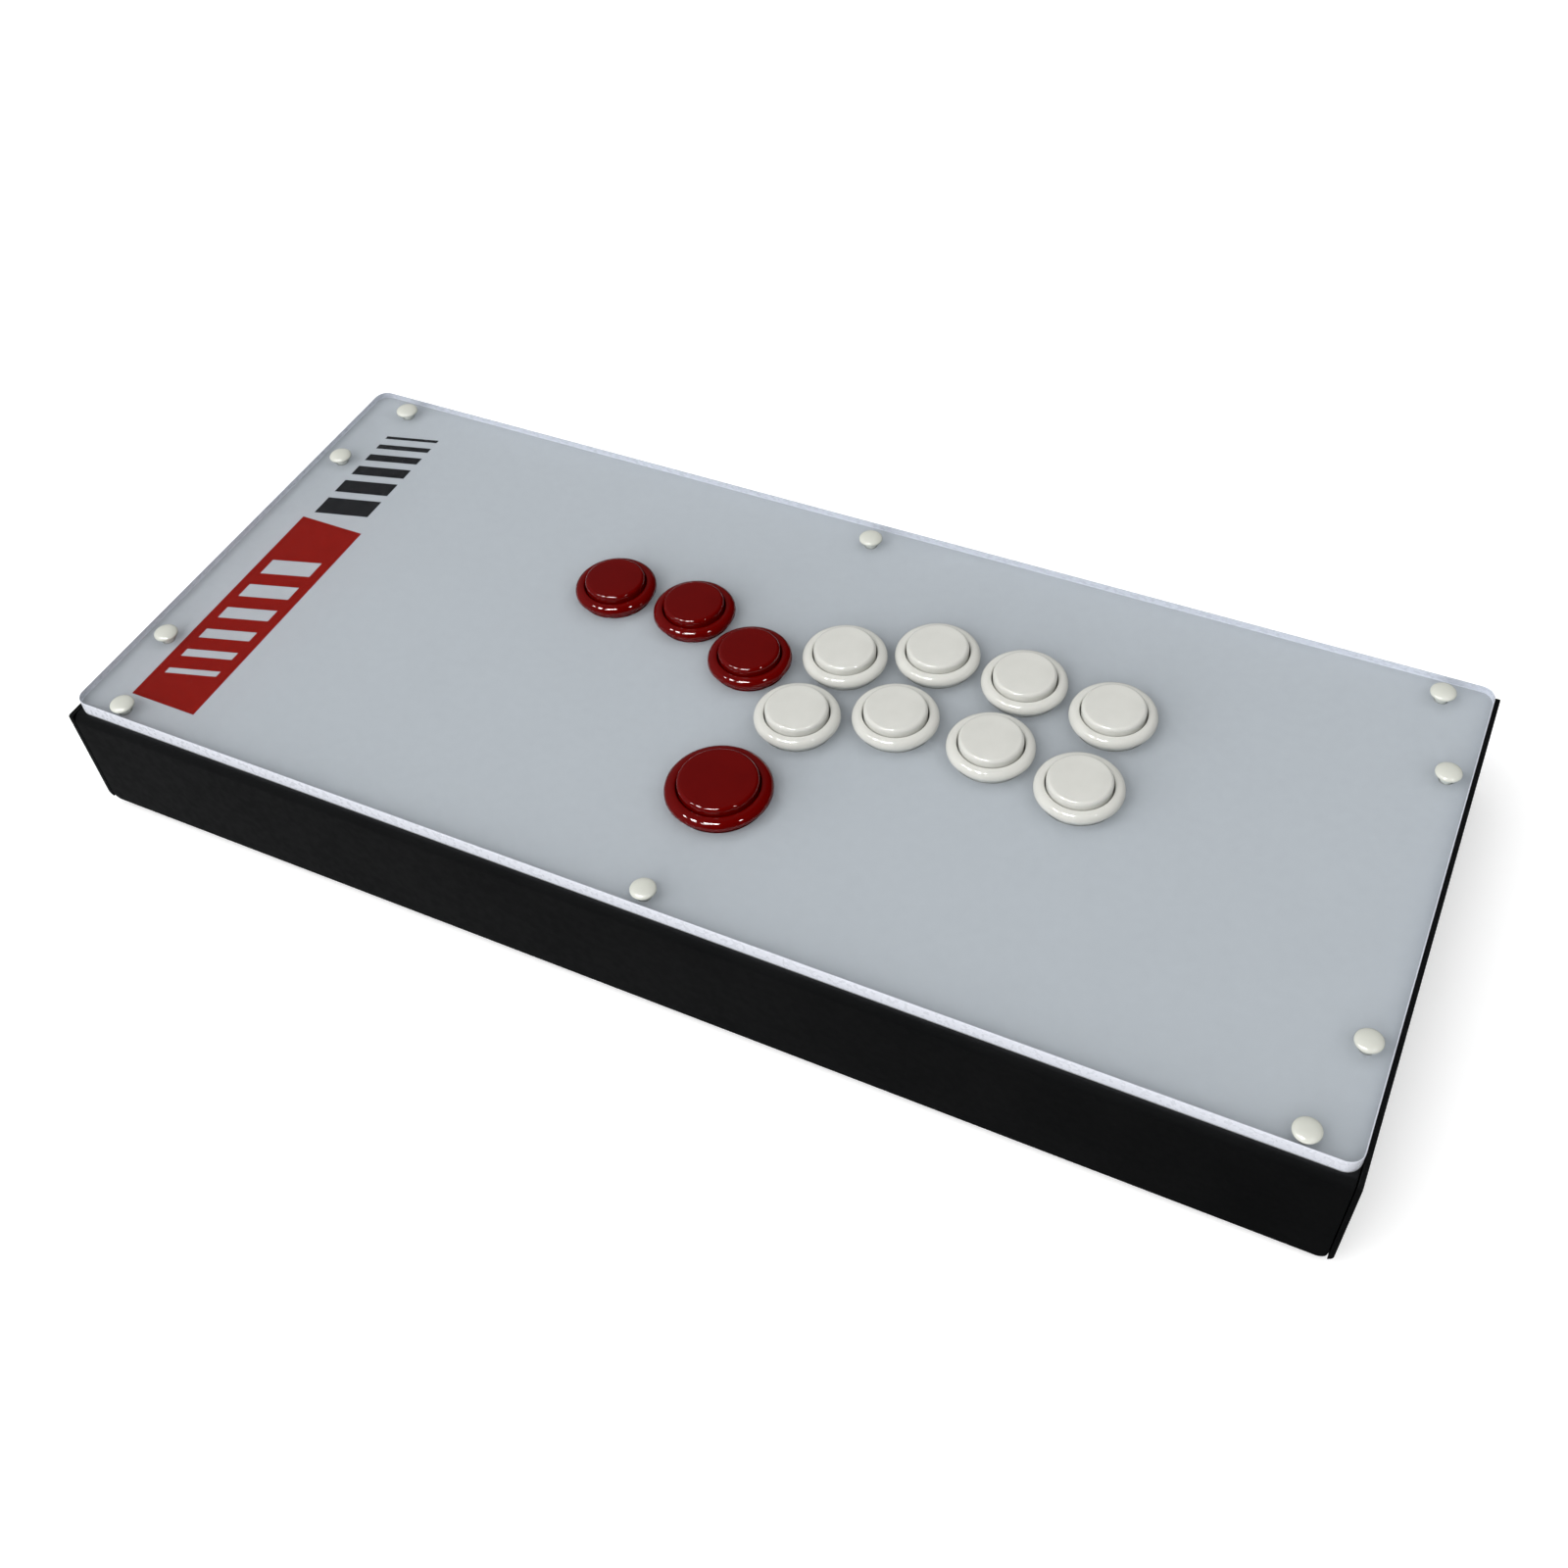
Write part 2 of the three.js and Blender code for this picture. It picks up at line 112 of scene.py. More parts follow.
def add_prism(bm, outline, depth0, depth1, place):
    """A closed prism: outline points (u, v), from depth0 to depth1, put in space by place(u, v, w)."""
    rings = [[bm.verts.new(place(u, v, w)) for u, v in outline] for w in (depth0, depth1)]
    bm.faces.new(list(reversed(rings[0])))
    bm.faces.new(rings[1])
    count = len(outline)
    for i in range(count):
        j = (i + 1) % count
        bm.faces.new([rings[0][i], rings[0][j], rings[1][j], rings[1][i]])


def upright(u, v, w):
    return Vector((u, v, w))


def across(u, v, w):
    """u along X, v along Z, w along Y."""
    return Vector((u, w, v))


def endways(u, v, w):
    """u along Y, v along Z, w along X."""
    return Vector((w, u, v))


def circle(cx, cy, radius, steps):
    return arc(cx, cy, radius, 0, 360 - 360 / steps, steps - 1)


def rectangle(x0, x1, y0, y1):
    return [(x0, y0), (x1, y0), (x1, y1), (x0, y1)]


def rounded_rectangle(x0, x1, y0, y1, radius, steps=8):
    corners = [(x1, y1, 0), (x0, y1, 90), (x0, y0, 180), (x1, y0, 270)]
    points = []
    for x, y, start in corners:
        cx = x - radius if x == x1 else x + radius
        cy = y - radius if y == y1 else y + radius
        points += arc(cx, cy, radius, start, start + 90, steps)
    return points


def add_turned(bm, profile, steps):
    """A profile of (radius, height) points turned about Z. A radius of 0 closes on the axis; a profile
    with no such point closes on itself."""
    rings = []
    for r, z in profile:
        if r < 1e-9:
            rings.append([bm.verts.new((0, 0, z))])
        else:
            ring = []
            for i in range(steps):
                a = 2 * math.pi * i / steps
                ring.append(bm.verts.new((r * math.cos(a), r * math.sin(a), z)))
            rings.append(ring)
    closed = all(r > 1e-9 for r, _ in profile)
    above = rings[1:] + rings[:1] if closed else rings[1:]
    for low, high in zip(rings, above):
        for i in range(steps):
            j = (i + 1) % steps
            corners = [low[i % len(low)], low[j % len(low)], high[j % len(high)], high[i % len(high)]]
            unique = list(dict.fromkeys(corners))
            if len(unique) > 2:
                bm.faces.new(unique)


def turned(name, profile, steps, angle=32):
    bm = bmesh.new()
    add_turned(bm, profile, steps)
    return smooth(mesh_from(name, bm), angle)


def evaluated_mesh(piece):
    bpy.context.view_layer.update()
    graph = bpy.context.evaluated_depsgraph_get()
    return bpy.data.meshes.new_from_object(piece.evaluated_get(graph))


def bake_modifiers(piece):
    mesh = evaluated_mesh(piece)
    piece.modifiers.clear()
    piece.data = mesh
    return piece


def cut(piece, cutter_bm):
    cutter = new_object("cutter", mesh_from("cutter", cutter_bm))
    boolean = piece.modifiers.new("holes", "BOOLEAN")
    boolean.operation = "DIFFERENCE"
    boolean.solver = "EXACT"
    boolean.object = cutter
    bake_modifiers(piece)
    bpy.data.objects.remove(cutter)
    return piece


def bevelled(piece, width, segments=2):
    """Rounds the edges and keeps the flat faces' shading flat."""
    smooth(piece.data)
    bevel = piece.modifiers.new("edges", "BEVEL")
    bevel.width = width
    bevel.segments = segments
    bevel.limit_method = "ANGLE"
    bevel.angle_limit = math.radians(35)
    bevel.harden_normals = True
    return bake_modifiers(piece)


def coloured(mesh, material):
    mesh.materials.clear()
    mesh.materials.append(material)
    return mesh


def released(work, material):
    """The mesh of a working object, in one material. The object is deleted."""
    mesh = work.data
    bpy.data.objects.remove(work)
    return coloured(mesh, material)


def finish_piece(piece, body, slot, material, *nodes):
    coloured(piece.data, material)
    place_piece(piece, body, slot, *nodes)


def place_piece(piece, body, slot, *nodes):
    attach(piece, body)
    if nodes:
        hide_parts(*nodes)


# ---------------------------------------------------------------- materials
def principled(name, colour, roughness, metallic=0.0, **sockets):
    material = bpy.data.materials.new(name)
    material.use_nodes = True
    shader = material.node_tree.nodes["Principled BSDF"]
    shader.inputs["Base Color"].default_value = (*colour, 1)
    shader.inputs["Roughness"].default_value = roughness
    shader.inputs["Metallic"].default_value = metallic
    for key, value in sockets.items():
        shader.inputs[key.replace("_", " ")].default_value = value
    return material


def coordinates(material):
    return material.node_tree.nodes.new("ShaderNodeTexCoord").outputs["Object"]


def noise(material, vector, scale, detail=4):
    node = material.node_tree.nodes.new("ShaderNodeTexNoise")
    node.inputs["Scale"].default_value = scale
    node.inputs["Detail"].default_value = detail
    node.inputs["Roughness"].default_value = 0.5
    material.node_tree.links.new(vector, node.inputs["Vector"])
    return node.outputs["Fac"]


def remap(material, value, low, high, from_low=0.35, from_high=0.65):
    node = material.node_tree.nodes.new("ShaderNodeMapRange")
    node.inputs["From Min"].default_value = from_low
    node.inputs["From Max"].default_value = from_high
    node.inputs["To Min"].default_value = low
    node.inputs["To Max"].default_value = high
    material.node_tree.links.new(value, node.inputs["Value"])
    return node.outputs["Result"]


def mix_colours(material, factor, first, second):
    node = material.node_tree.nodes.new("ShaderNodeMix")
    node.data_type = "RGBA"
    material.node_tree.links.new(factor, node.inputs["Factor"])
    for key, value in (("A", first), ("B", second)):
        socket = next(s for s in node.inputs if s.name == key and s.type == "RGBA")
        socket.default_value = (*value, 1)
    return next(s for s in node.outputs if s.type == "RGBA")


def shader_of(material):
    return material.node_tree.nodes["Principled BSDF"]


def add_bump(material, height, strength, distance):
    bump = material.node_tree.nodes.new("ShaderNodeBump")
    bump.inputs["Strength"].default_value = strength
    bump.inputs["Distance"].default_value = distance
    material.node_tree.links.new(height, bump.inputs["Height"])
    material.node_tree.links.new(bump.outputs["Normal"], shader_of(material).inputs["Normal"])


def vary(material, first, second, scale, low_rough, high_rough, bump=None):
    """Colour and roughness that drift between two values, with an optional fine bump."""
    vector = coordinates(material)
    drift = remap(material, noise(material, vector, scale), 0, 1)
    links = material.node_tree.links
    links.new(mix_colours(material, drift, first, second), shader_of(material).inputs["Base Color"])
    fine = noise(material, vector, scale * 9, 3)
    links.new(remap(material, fine, low_rough, high_rough), shader_of(material).inputs["Roughness"])
    if bump:
        bump_scale, strength, distance = bump
        add_bump(material, noise(material, vector, bump_scale, 2), strength, distance)
    return material


def powder_coat():
    """Black satin powder coat: a fine pebbled skin with faint grey flecks."""
    dark, pale = (0.0024, 0.0026, 0.0028), (0.0034, 0.0036, 0.0038)
    material = principled("powder_coat", dark, 0.4, Specular_IOR_Level=0.5)
    return vary(material, dark, pale, 40, 0.42, 0.52, (1600, 0.12, 0.00005))


def gloss_plastic(name, first, second):
    material = principled(name, first, 0.04, Specular_IOR_Level=0.5)
    return vary(material, first, second, 90, 0.03, 0.055, (400, 0.02, 0.00002))


def clear_acrylic(name, ior):
    """Clear sheet that lamps shine through. At an index of 1 its face is one that glue wets."""
    material = principled(name, (0.97, 0.985, 1.0), 0.03, Transmission_Weight=1.0, IOR=ior)
    tree = material.node_tree
    path = tree.nodes.new("ShaderNodeLightPath")
    clear = tree.nodes.new("ShaderNodeBsdfTransparent")
    clear.inputs["Color"].default_value = (0.95, 0.965, 0.98, 1)
    mix = tree.nodes.new("ShaderNodeMixShader")
    tree.links.new(path.outputs["Is Shadow Ray"], mix.inputs["Fac"])
    tree.links.new(shader_of(material).outputs["BSDF"], mix.inputs[1])
    tree.links.new(clear.outputs["BSDF"], mix.inputs[2])
    tree.links.new(mix.outputs["Shader"], tree.nodes["Material Output"].inputs["Surface"])
    vector = coordinates(material)
    rough = remap(material, noise(material, vector, 60, 5), 0.015, 0.05)
    tree.links.new(rough, shader_of(material).inputs["Roughness"])
    return material


def glowing_edge(half_thickness, middle):
    """Polished rim that gathers light from the sheet: milky, and a trace clearer between its two faces."""
    material = principled("acrylic_edge", (0.66, 0.68, 0.74), 0.22, IOR=1.49)
    tree = material.node_tree
    vector = coordinates(material)
    axes = tree.nodes.new("ShaderNodeSeparateXYZ")
    tree.links.new(vector, axes.inputs["Vector"])
    height = remap(material, axes.outputs["Z"], -1, 1, middle - half_thickness, middle + half_thickness)
    away = tree.nodes.new("ShaderNodeMath")
    away.operation = "ABSOLUTE"
    tree.links.new(height, away.inputs[0])
    clear = remap(material, away.outputs[0], 0.04, 0.0, 0.3, 0.9)
    tree.links.new(clear, shader_of(material).inputs["Transmission Weight"])
    rough = remap(material, noise(material, vector, 500), 0.26, 0.3)
    tree.links.new(rough, shader_of(material).inputs["Roughness"])
    return material


def printed(name, first, second):
    """Ink bonded to the cover, so it has no gloss of its own."""
    material = principled(name, first, 0.55, Specular_IOR_Level=0.0)
    return vary(material, first, second, 300, 0.5, 0.62, (1800, 0.08, 0.00003))


def moulded(name, first, second, low, high):
    return vary(principled(name, first, low), first, second, 120, low, high, (1500, 0.2, 0.00005))


def metal(name, first, second, low, high):
    return vary(principled(name, first, low, 1.0), first, second, 200, low, high, (900, 0.08, 0.00003))


COAT = powder_coat()
RED = gloss_plastic("red_plastic", (0.105, 0.0003, 0.0001), (0.115, 0.0006, 0.0002))
WHITE = gloss_plastic("white_plastic", (0.62, 0.62, 0.58), (0.655, 0.655, 0.615))
BUTTON_PLASTIC = {"red": RED, "white": WHITE}
NYLON = moulded("nylon", (0.61, 0.62, 0.56), (0.64, 0.65, 0.59), 0.1, 0.16)
ACRYLIC = clear_acrylic("clear_acrylic", 1.49)
GLUED_FACE = clear_acrylic("glued_acrylic", 1.0)
PRINT_PALE = printed("print_pale", (0.386, 0.401, 0.413), (0.394, 0.409, 0.421))
PRINT_RED = printed("print_red", (0.195, 0.005, 0.002), (0.205, 0.006, 0.003))
PRINT_BLACK = printed("print_black", (0.011, 0.011, 0.012), (0.015, 0.015, 0.016))
RUBBER = moulded("rubber", (0.014, 0.014, 0.014), (0.022, 0.022, 0.022), 0.75, 0.9)
BLACK_NYLON = moulded("black_nylon", (0.014, 0.014, 0.016), (0.022, 0.022, 0.024), 0.4, 0.55)
SOLDER_MASK = vary(
    principled("solder_mask", (0.01, 0.10, 0.04), 0.3), (0.01, 0.09, 0.035), (0.015, 0.12, 0.05),
    400, 0.25, 0.4, (2500, 0.1, 0.00003),
)
BRASS = metal("brass", (0.72, 0.52, 0.22), (0.80, 0.60, 0.28), 0.25, 0.4)
ZINC = metal("zinc", (0.55, 0.56, 0.57), (0.66, 0.67, 0.68), 0.28, 0.42)
PALE_NYLON = moulded("pale_nylon", (0.70, 0.69, 0.64), (0.76, 0.75, 0.70), 0.4, 0.5)
CAP_BLACK = moulded("cap_black", (0.010, 0.010, 0.011), (0.016, 0.016, 0.017), 0.28, 0.38)
SLEEVE_BLUE = moulded("sleeve_blue", (0.02, 0.10, 0.42), (0.03, 0.13, 0.48), 0.3, 0.4)
WIRE_RED = moulded("wire_red", (0.42, 0.02, 0.015), (0.48, 0.03, 0.02), 0.35, 0.45)
WIRE_BLACK = moulded("wire_black", (0.012, 0.012, 0.012), (0.02, 0.02, 0.02), 0.4, 0.5)
DARK_SCREW = metal("dark_screw", (0.05, 0.05, 0.052), (0.08, 0.08, 0.083), 0.35, 0.5)


# ---------------------------------------------------------------- hole pattern, from the frame
BUTTONS = [(name, colour, centre_of(f"housing_{name}")) for name, colour in BUTTON_COLOURS.items()]
RIVET_NODES = sorted(n for n in frame["nodes"] if n.startswith("rivet_"))
FOOT_NODES = sorted(n for n in frame["nodes"] if n.startswith("foot_"))
SHELL_LOW, SHELL_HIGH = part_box("top_shell")
TRAY_LOW, TRAY_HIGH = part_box("base_tray")
COVER_LOW, COVER_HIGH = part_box("acrylic_cover")
ART_LOW, ART_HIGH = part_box("art_sheet")
PANEL_TOP = COVER_HIGH.z
PANEL_STACK = PANEL_TOP - SHELL_HIGH.z + SHEET
BARREL_24 = 11.8 * MM
BARREL_30 = 14.8 * MM
HOLE_CLEARANCE = 0.35 * MM
RIVET_HOLE = 2.3 * MM
CASE_SCREW_HOLE = 1.8 * MM
FUNCTION_HOLE = 3.9 * MM
SHEET_EDGE = 0.18 * MM


def barrel_radius(name):
    low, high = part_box(f"housing_{name}")
    return BARREL_30 if high.x - low.x > 30 * MM else BARREL_24


def hole_cutters(z0, z1):
    bm = bmesh.new()
    for name, _, c in BUTTONS:
        add_prism(bm, circle(c.x, c.y, barrel_radius(name) + HOLE_CLEARANCE, 64), z0, z1, upright)
    for node in RIVET_NODES:
        c = centre_of(node)
        add_prism(bm, circle(c.x, c.y, RIVET_HOLE, 24), z0, z1, upright)
    return bm


# ---------------------------------------------------------------- case
def mirrored(points):
    return [(-u, v) for u, v in reversed(points)]


def channel_outline(half, z0, z1, up=1):
    """A channel's section from z0 at its open edges to z1 at its flat side. up is 1 where that is the top."""
    centre = z1 - up * BEND
    outer = arc(half - BEND, centre, BEND, 0, 90, 10)
    outer = [(u, centre + up * (v - centre)) for u, v in outer]
    inner = arc(half - BEND, centre, BEND - SHEET, 90, 0, 10)
    inner = [(u, centre + up * (v - centre)) for u, v in inner]
    return [
        (half, z0), *outer, *mirrored(outer), (-half, z0), (-half + SHEET, z0),
        *mirrored(inner), *inner, (half - SHEET, z0),
    ]


def corner_cutter(bm, u, v, du, dv, radius, w0, w1, place):
    """What rounds a sheet's corner at (u, v). du and dv are 1 or -1, towards the sheet."""
    past = 0.3 * radius
    curve = [(u + du * radius * (1 - math.cos(t)), v + dv * radius * (1 - math.sin(t)))
             for t in (math.radians(a) for a in range(0, 91, 9))]
    outside = [(u + du * radius, v - dv * past), (u - du * past, v - dv * past),
               (u - du * past, v + dv * radius)]
    add_prism(bm, curve + outside, w0, w1, place)


def make_top_shell():
    y_mid = (SHELL_LOW.y + SHELL_HIGH.y) / 2
    half = (SHELL_HIGH.y - SHELL_LOW.y) / 2
    outline = [(u + y_mid, v) for u, v in channel_outline(half, SHELL_LOW.z, SHELL_HIGH.z)]
    bm = bmesh.new()
    add_prism(bm, outline, SHELL_LOW.x, SHELL_HIGH.x, endways)
    shell = new_object("top_shell_folded", mesh_from("top_shell_folded", bm))
    cutters = hole_cutters(SHELL_HIGH.z - 2 * SHEET, SHELL_HIGH.z + SHEET)
    wall = SHELL_HIGH.y
    low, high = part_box("usb_socket")
    window = rounded_rectangle(
        low.x - FIT_GAP, high.x + FIT_GAP, low.z - FIT_GAP, high.z + FIT_GAP, 0.6 * MM, 4
    )
    add_prism(cutters, window, wall - 2 * SHEET, wall + SHEET, across)
    for i in (1, 2, 3):
        c = centre_of(f"function_cap_{i}")
        add_prism(cutters, circle(c.x, c.z, FUNCTION_HOLE, 48), wall - 2 * SHEET, wall + SHEET, across)
    cut(shell, cutters)
    corners = bmesh.new()
    for x, du in ((SHELL_LOW.x, 1), (SHELL_HIGH.x, -1)):
        for y0, y1 in ((SHELL_LOW.y - SHEET, SHELL_LOW.y + 1.5 * SHEET),
                       (SHELL_HIGH.y - 1.5 * SHEET, SHELL_HIGH.y + SHEET)):
            corner_cutter(corners, x, SHELL_LOW.z, du, 1, BEND, y0, y1, across)
    cut(shell, corners)
    bevelled(shell, SHEET_EDGE)
    finish_piece(shell, CASE, "coated_steel", COAT, "top_shell")


def make_base_tray():
    half = (TRAY_HIGH.x - TRAY_LOW.x) / 2
    outline = channel_outline(half, TRAY_HIGH.z, TRAY_LOW.z, up=-1)
    bm = bmesh.new()
    add_prism(bm, outline, TRAY_LOW.y, TRAY_HIGH.y, across)
    tray = new_object("base_tray_folded", mesh_from("base_tray_folded", bm))
    cutters = bmesh.new()
    inner_half = half - SHEET
    for y0, y1 in ((TRAY_LOW.y - SHEET, TRAY_LOW.y + SHEET + FIT_GAP),
                   (TRAY_HIGH.y - SHEET - FIT_GAP, TRAY_HIGH.y + SHEET)):
        relief = rectangle(-inner_half, inner_half, y0, y1)
        add_prism(cutters, relief, TRAY_LOW.z - SHEET, TRAY_LOW.z + BEND, upright)
    for x, dx in ((TRAY_LOW.x, 1), (TRAY_HIGH.x, -1)):
        x0, x1 = sorted((x - dx * SHEET, x + dx * 1.6 * SHEET))
        corner_cutter(cutters, TRAY_HIGH.y, TRAY_HIGH.z, -1, -1, 2.5 * MM, x0, x1, endways)
        corner_cutter(cutters, TRAY_LOW.y, TRAY_HIGH.z, 1, -1, 0.8 * MM, x0, x1, endways)
    cut(tray, cutters)
    holes = bmesh.new()
    for x, y in case_screw_places():
        hole = circle(x, y, CASE_SCREW_HOLE, 24)
        add_prism(holes, hole, TRAY_LOW.z - SHEET, TRAY_LOW.z + 2 * SHEET, upright)
    cut(tray, holes)
    bevelled(tray, SHEET_EDGE)
    finish_piece(tray, CASE, "coated_steel", COAT, "base_tray")


def case_screw_places():
    y_mid = (TRAY_LOW.y + TRAY_HIGH.y) / 2
    return [(sx * 180 * MM, y_mid + sy * 60 * MM) for sx in (-1, 1) for sy in (-1, 1)]


# ---------------------------------------------------------------- cover and printed sheet
COVER_CORNER = 4.5 * MM
FLAT = 0.99


def near_rivet(point):
    return any((centre_of(n) - point).xy.length < 2 * RIVET_HOLE for n in RIVET_NODES)


def make_cover():
    """Three materials: clear on top, glued underneath and in the holes, glowing round the rim."""
    outline = rounded_rectangle(COVER_LOW.x, COVER_HIGH.x, COVER_LOW.y, COVER_HIGH.y, COVER_CORNER, 10)
    bm = bmesh.new()
    add_prism(bm, outline, COVER_LOW.z, COVER_HIGH.z, upright)
    cover = new_object("clear_cover", mesh_from("clear_cover", bm))
    cut(cover, hole_cutters(COVER_LOW.z - SHEET, COVER_HIGH.z + SHEET))
    bevelled(cover, 0.3 * MM, 3)
    finish_piece(cover, CASE, "clear_cover", ACRYLIC, "acrylic_cover")
    half = (COVER_HIGH - COVER_LOW) / 2
    middle = (COVER_LOW + COVER_HIGH) / 2
    cover.data.materials.append(GLUED_FACE)
    cover.data.materials.append(glowing_edge(half.z, middle.z))
    for face in cover.data.polygons:
        away = face.center - middle
        at_rim = abs(away.x) > half.x - COVER_CORNER or abs(away.y) > half.y - COVER_CORNER
        is_side = face.normal.z > -FLAT
        if face.normal.z < FLAT:
            face.material_index = 2 if at_rim and is_side and not near_rivet(face.center) else 1


def slanted_bar(x0, x1, y0, width, lean):
    return [(x0, y0), (x1, y0 + lean), (x1, y0 + lean + width), (x0, y0 + width)]


def inside(point, outline):
    """True if the point is in the polygon."""
    x, y = point
    found = False
    for (x0, y0), (x1, y1) in zip(outline, outline[1:] + outline[:1]):
        if (y0 > y) != (y1 > y) and x < x0 + (y - y0) * (x1 - x0) / (y1 - y0):
            found = not found
    return found


def stripe_design():
    """A generic design at the left end: a red block with pale slanted bars, then black ones that thin out."""
    x0 = COVER_LOW.x + 13.8 * MM
    x1 = x0 + 25.4 * MM
    y_block = COVER_LOW.y + 11.8 * MM
    block = rectangle(x0, x1, y_block, y_block + 95.6 * MM)
    pale = []
    y = y_block + 12 * MM
    for width in (2.5, 3.5, 4.5, 5.5, 6.5, 7.5):
        pale.append(slanted_bar(x0 + 4 * MM, x1 - 4 * MM, y, width * MM, 5 * MM))
        y += (width + 6) * MM
    black = []
    y = y_block + 99 * MM
    for width in (9, 7, 5.2, 3.8, 2.6, 1.6):
        black.append(slanted_bar(x0 + 2.4 * MM, x1 - 3.2 * MM, y, width * MM, 5 * MM))
        y += (width + 3.6) * MM
    return block, pale, black


def make_art_sheet():
    block, pale, black = stripe_design()
    holes = [circle(c.x, c.y, barrel_radius(n) + HOLE_CLEARANCE, 48) for n, _, c in BUTTONS]
    holes += [circle(centre_of(n).x, centre_of(n).y, RIVET_HOLE, 20) for n in RIVET_NODES]
    edge = rounded_rectangle(ART_LOW.x, ART_HIGH.x, ART_LOW.y, ART_HIGH.y, COVER_CORNER, 8)
    points, edges = [], []
    for outline in [edge, block, *pale, *black, *holes]:
        first = len(points)
        points += [Vector(p) for p in outline]
        edges += [(first + i, first + (i + 1) % len(outline)) for i in range(len(outline))]
    verts, _, faces, *_ = delaunay_2d_cdt(points, edges, [], 0, 1e-7)
    bm = bmesh.new()
    corners = [bm.verts.new((p.x, p.y, ART_LOW.z)) for p in verts]
    for face in faces:
        middle = [sum(verts[i][k] for i in face) / len(face) for k in (0, 1)]
        if not inside(middle, edge) or any(inside(middle, h) for h in holes):
            continue
        made = bm.faces.new([corners[i] for i in face])
        if any(inside(middle, p) for p in black):
            made.material_index = 2
        elif inside(middle, block) and not any(inside(middle, p) for p in pale):
            made.material_index = 1
    bmesh.ops.delete(bm, geom=[v for v in bm.verts if not v.link_faces], context="VERTS")
    mesh = bpy.data.meshes.new("printed_sheet")
    bm.to_mesh(mesh)
    bm.free()
    sheet = new_object("printed_sheet", mesh)
    for material in (PRINT_PALE, PRINT_RED, PRINT_BLACK):
        sheet.data.materials.append(material)
    thick = sheet.modifiers.new("thickness", "SOLIDIFY")
    thick.thickness = ART_HIGH.z - ART_LOW.z
    thick.offset = 1
    bake_modifiers(sheet)
    place_piece(sheet, CASE, "printed_sheet", "art_sheet")


# ---------------------------------------------------------------- rivets and feet
def rivet_mesh():
    """Snap rivet with a low domed head, round at the rim; heights from the cover's top."""
    head, dome, lip, crown_base = 4 * MM, 1.7 * MM, 0.35 * MM, 0.4 * MM
    rim = [(head - lip + lip * math.sin(t), lip - lip * math.cos(t) + 0.05 * MM)
           for t in (math.radians(a) for a in range(0, 91, 18))]
    crown = []
    for a in range(0, 91, 6):
        t = math.radians(a)
        reach = head * math.cos(t) ** 0.85 if a < 90 else 0
        crown.append((reach, crown_base + (dome - crown_base) * math.sin(t)))
    under = -PANEL_STACK - 0.05 * MM
    shank = [(0, under - 2.8 * MM), (1.5 * MM, under - 2.8 * MM), (1.9 * MM, under - 2.4 * MM),
             (2.7 * MM, under - 0.3 * MM), (2.6 * MM, under), (2 * MM, under), (2 * MM, 0.05 * MM)]
    return turned("rivet", shank + rim + crown[1:], 48, 40)


def make_rivets():
    mesh = coloured(rivet_mesh(), NYLON)
    for node in RIVET_NODES:
        c = centre_of(node)
        rivet = new_object(node.replace("rivet", "domed_rivet"), mesh)
        rivet.location = (c.x, c.y, PANEL_TOP)
        place_piece(rivet, CASE, "nylon_rivets", node)


def make_feet():
    """Turned rubber feet with a shallow ring groove underneath."""
    profile = [(0, 0.4), (4.5, 0.4), (5, 0), (7.4, 0), (8.1, 0.3), (8.9, 2.6), (8.9, 2.95), (0, 2.95)]
    mesh = coloured(turned("foot", [(r * MM, z * MM) for r, z in profile], 64, 30), RUBBER)
    for node in FOOT_NODES:
        c = centre_of(node)
        foot = new_object(node.replace("foot", "rubber_foot"), mesh)
        foot.location = (c.x, c.y, 0)
        place_piece(foot, CASE, "rubber_feet", node)


# ---------------------------------------------------------------- push buttons
BEZEL_HEIGHT = 2.6 * MM
SHOULDER = 5 * MM
FLOOR_DEPTH = 18 * MM
FLOOR_THICKNESS = 2 * MM
FLOOR_HOLE = 7.6 * MM
STEM_RADIUS = 1.4 * MM
STEM_DEPTH = 16.3 * MM
REST_GAP = 0.05 * MM
SWITCH_DEPTH = 6 * MM
TERMINAL_DEPTH = 13 * MM
TERMINAL_SPREAD = 2.6 * MM
SIZES = {
    BARREL_24: {"bezel": 13.8 * MM, "bore": 11.1 * MM, "mouth": 10.5 * MM, "cap": 10.1 * MM},
    BARREL_30: {"bezel": 16.85 * MM, "bore": 13.9 * MM, "mouth": 13.1 * MM, "cap": 12.7 * MM},
}


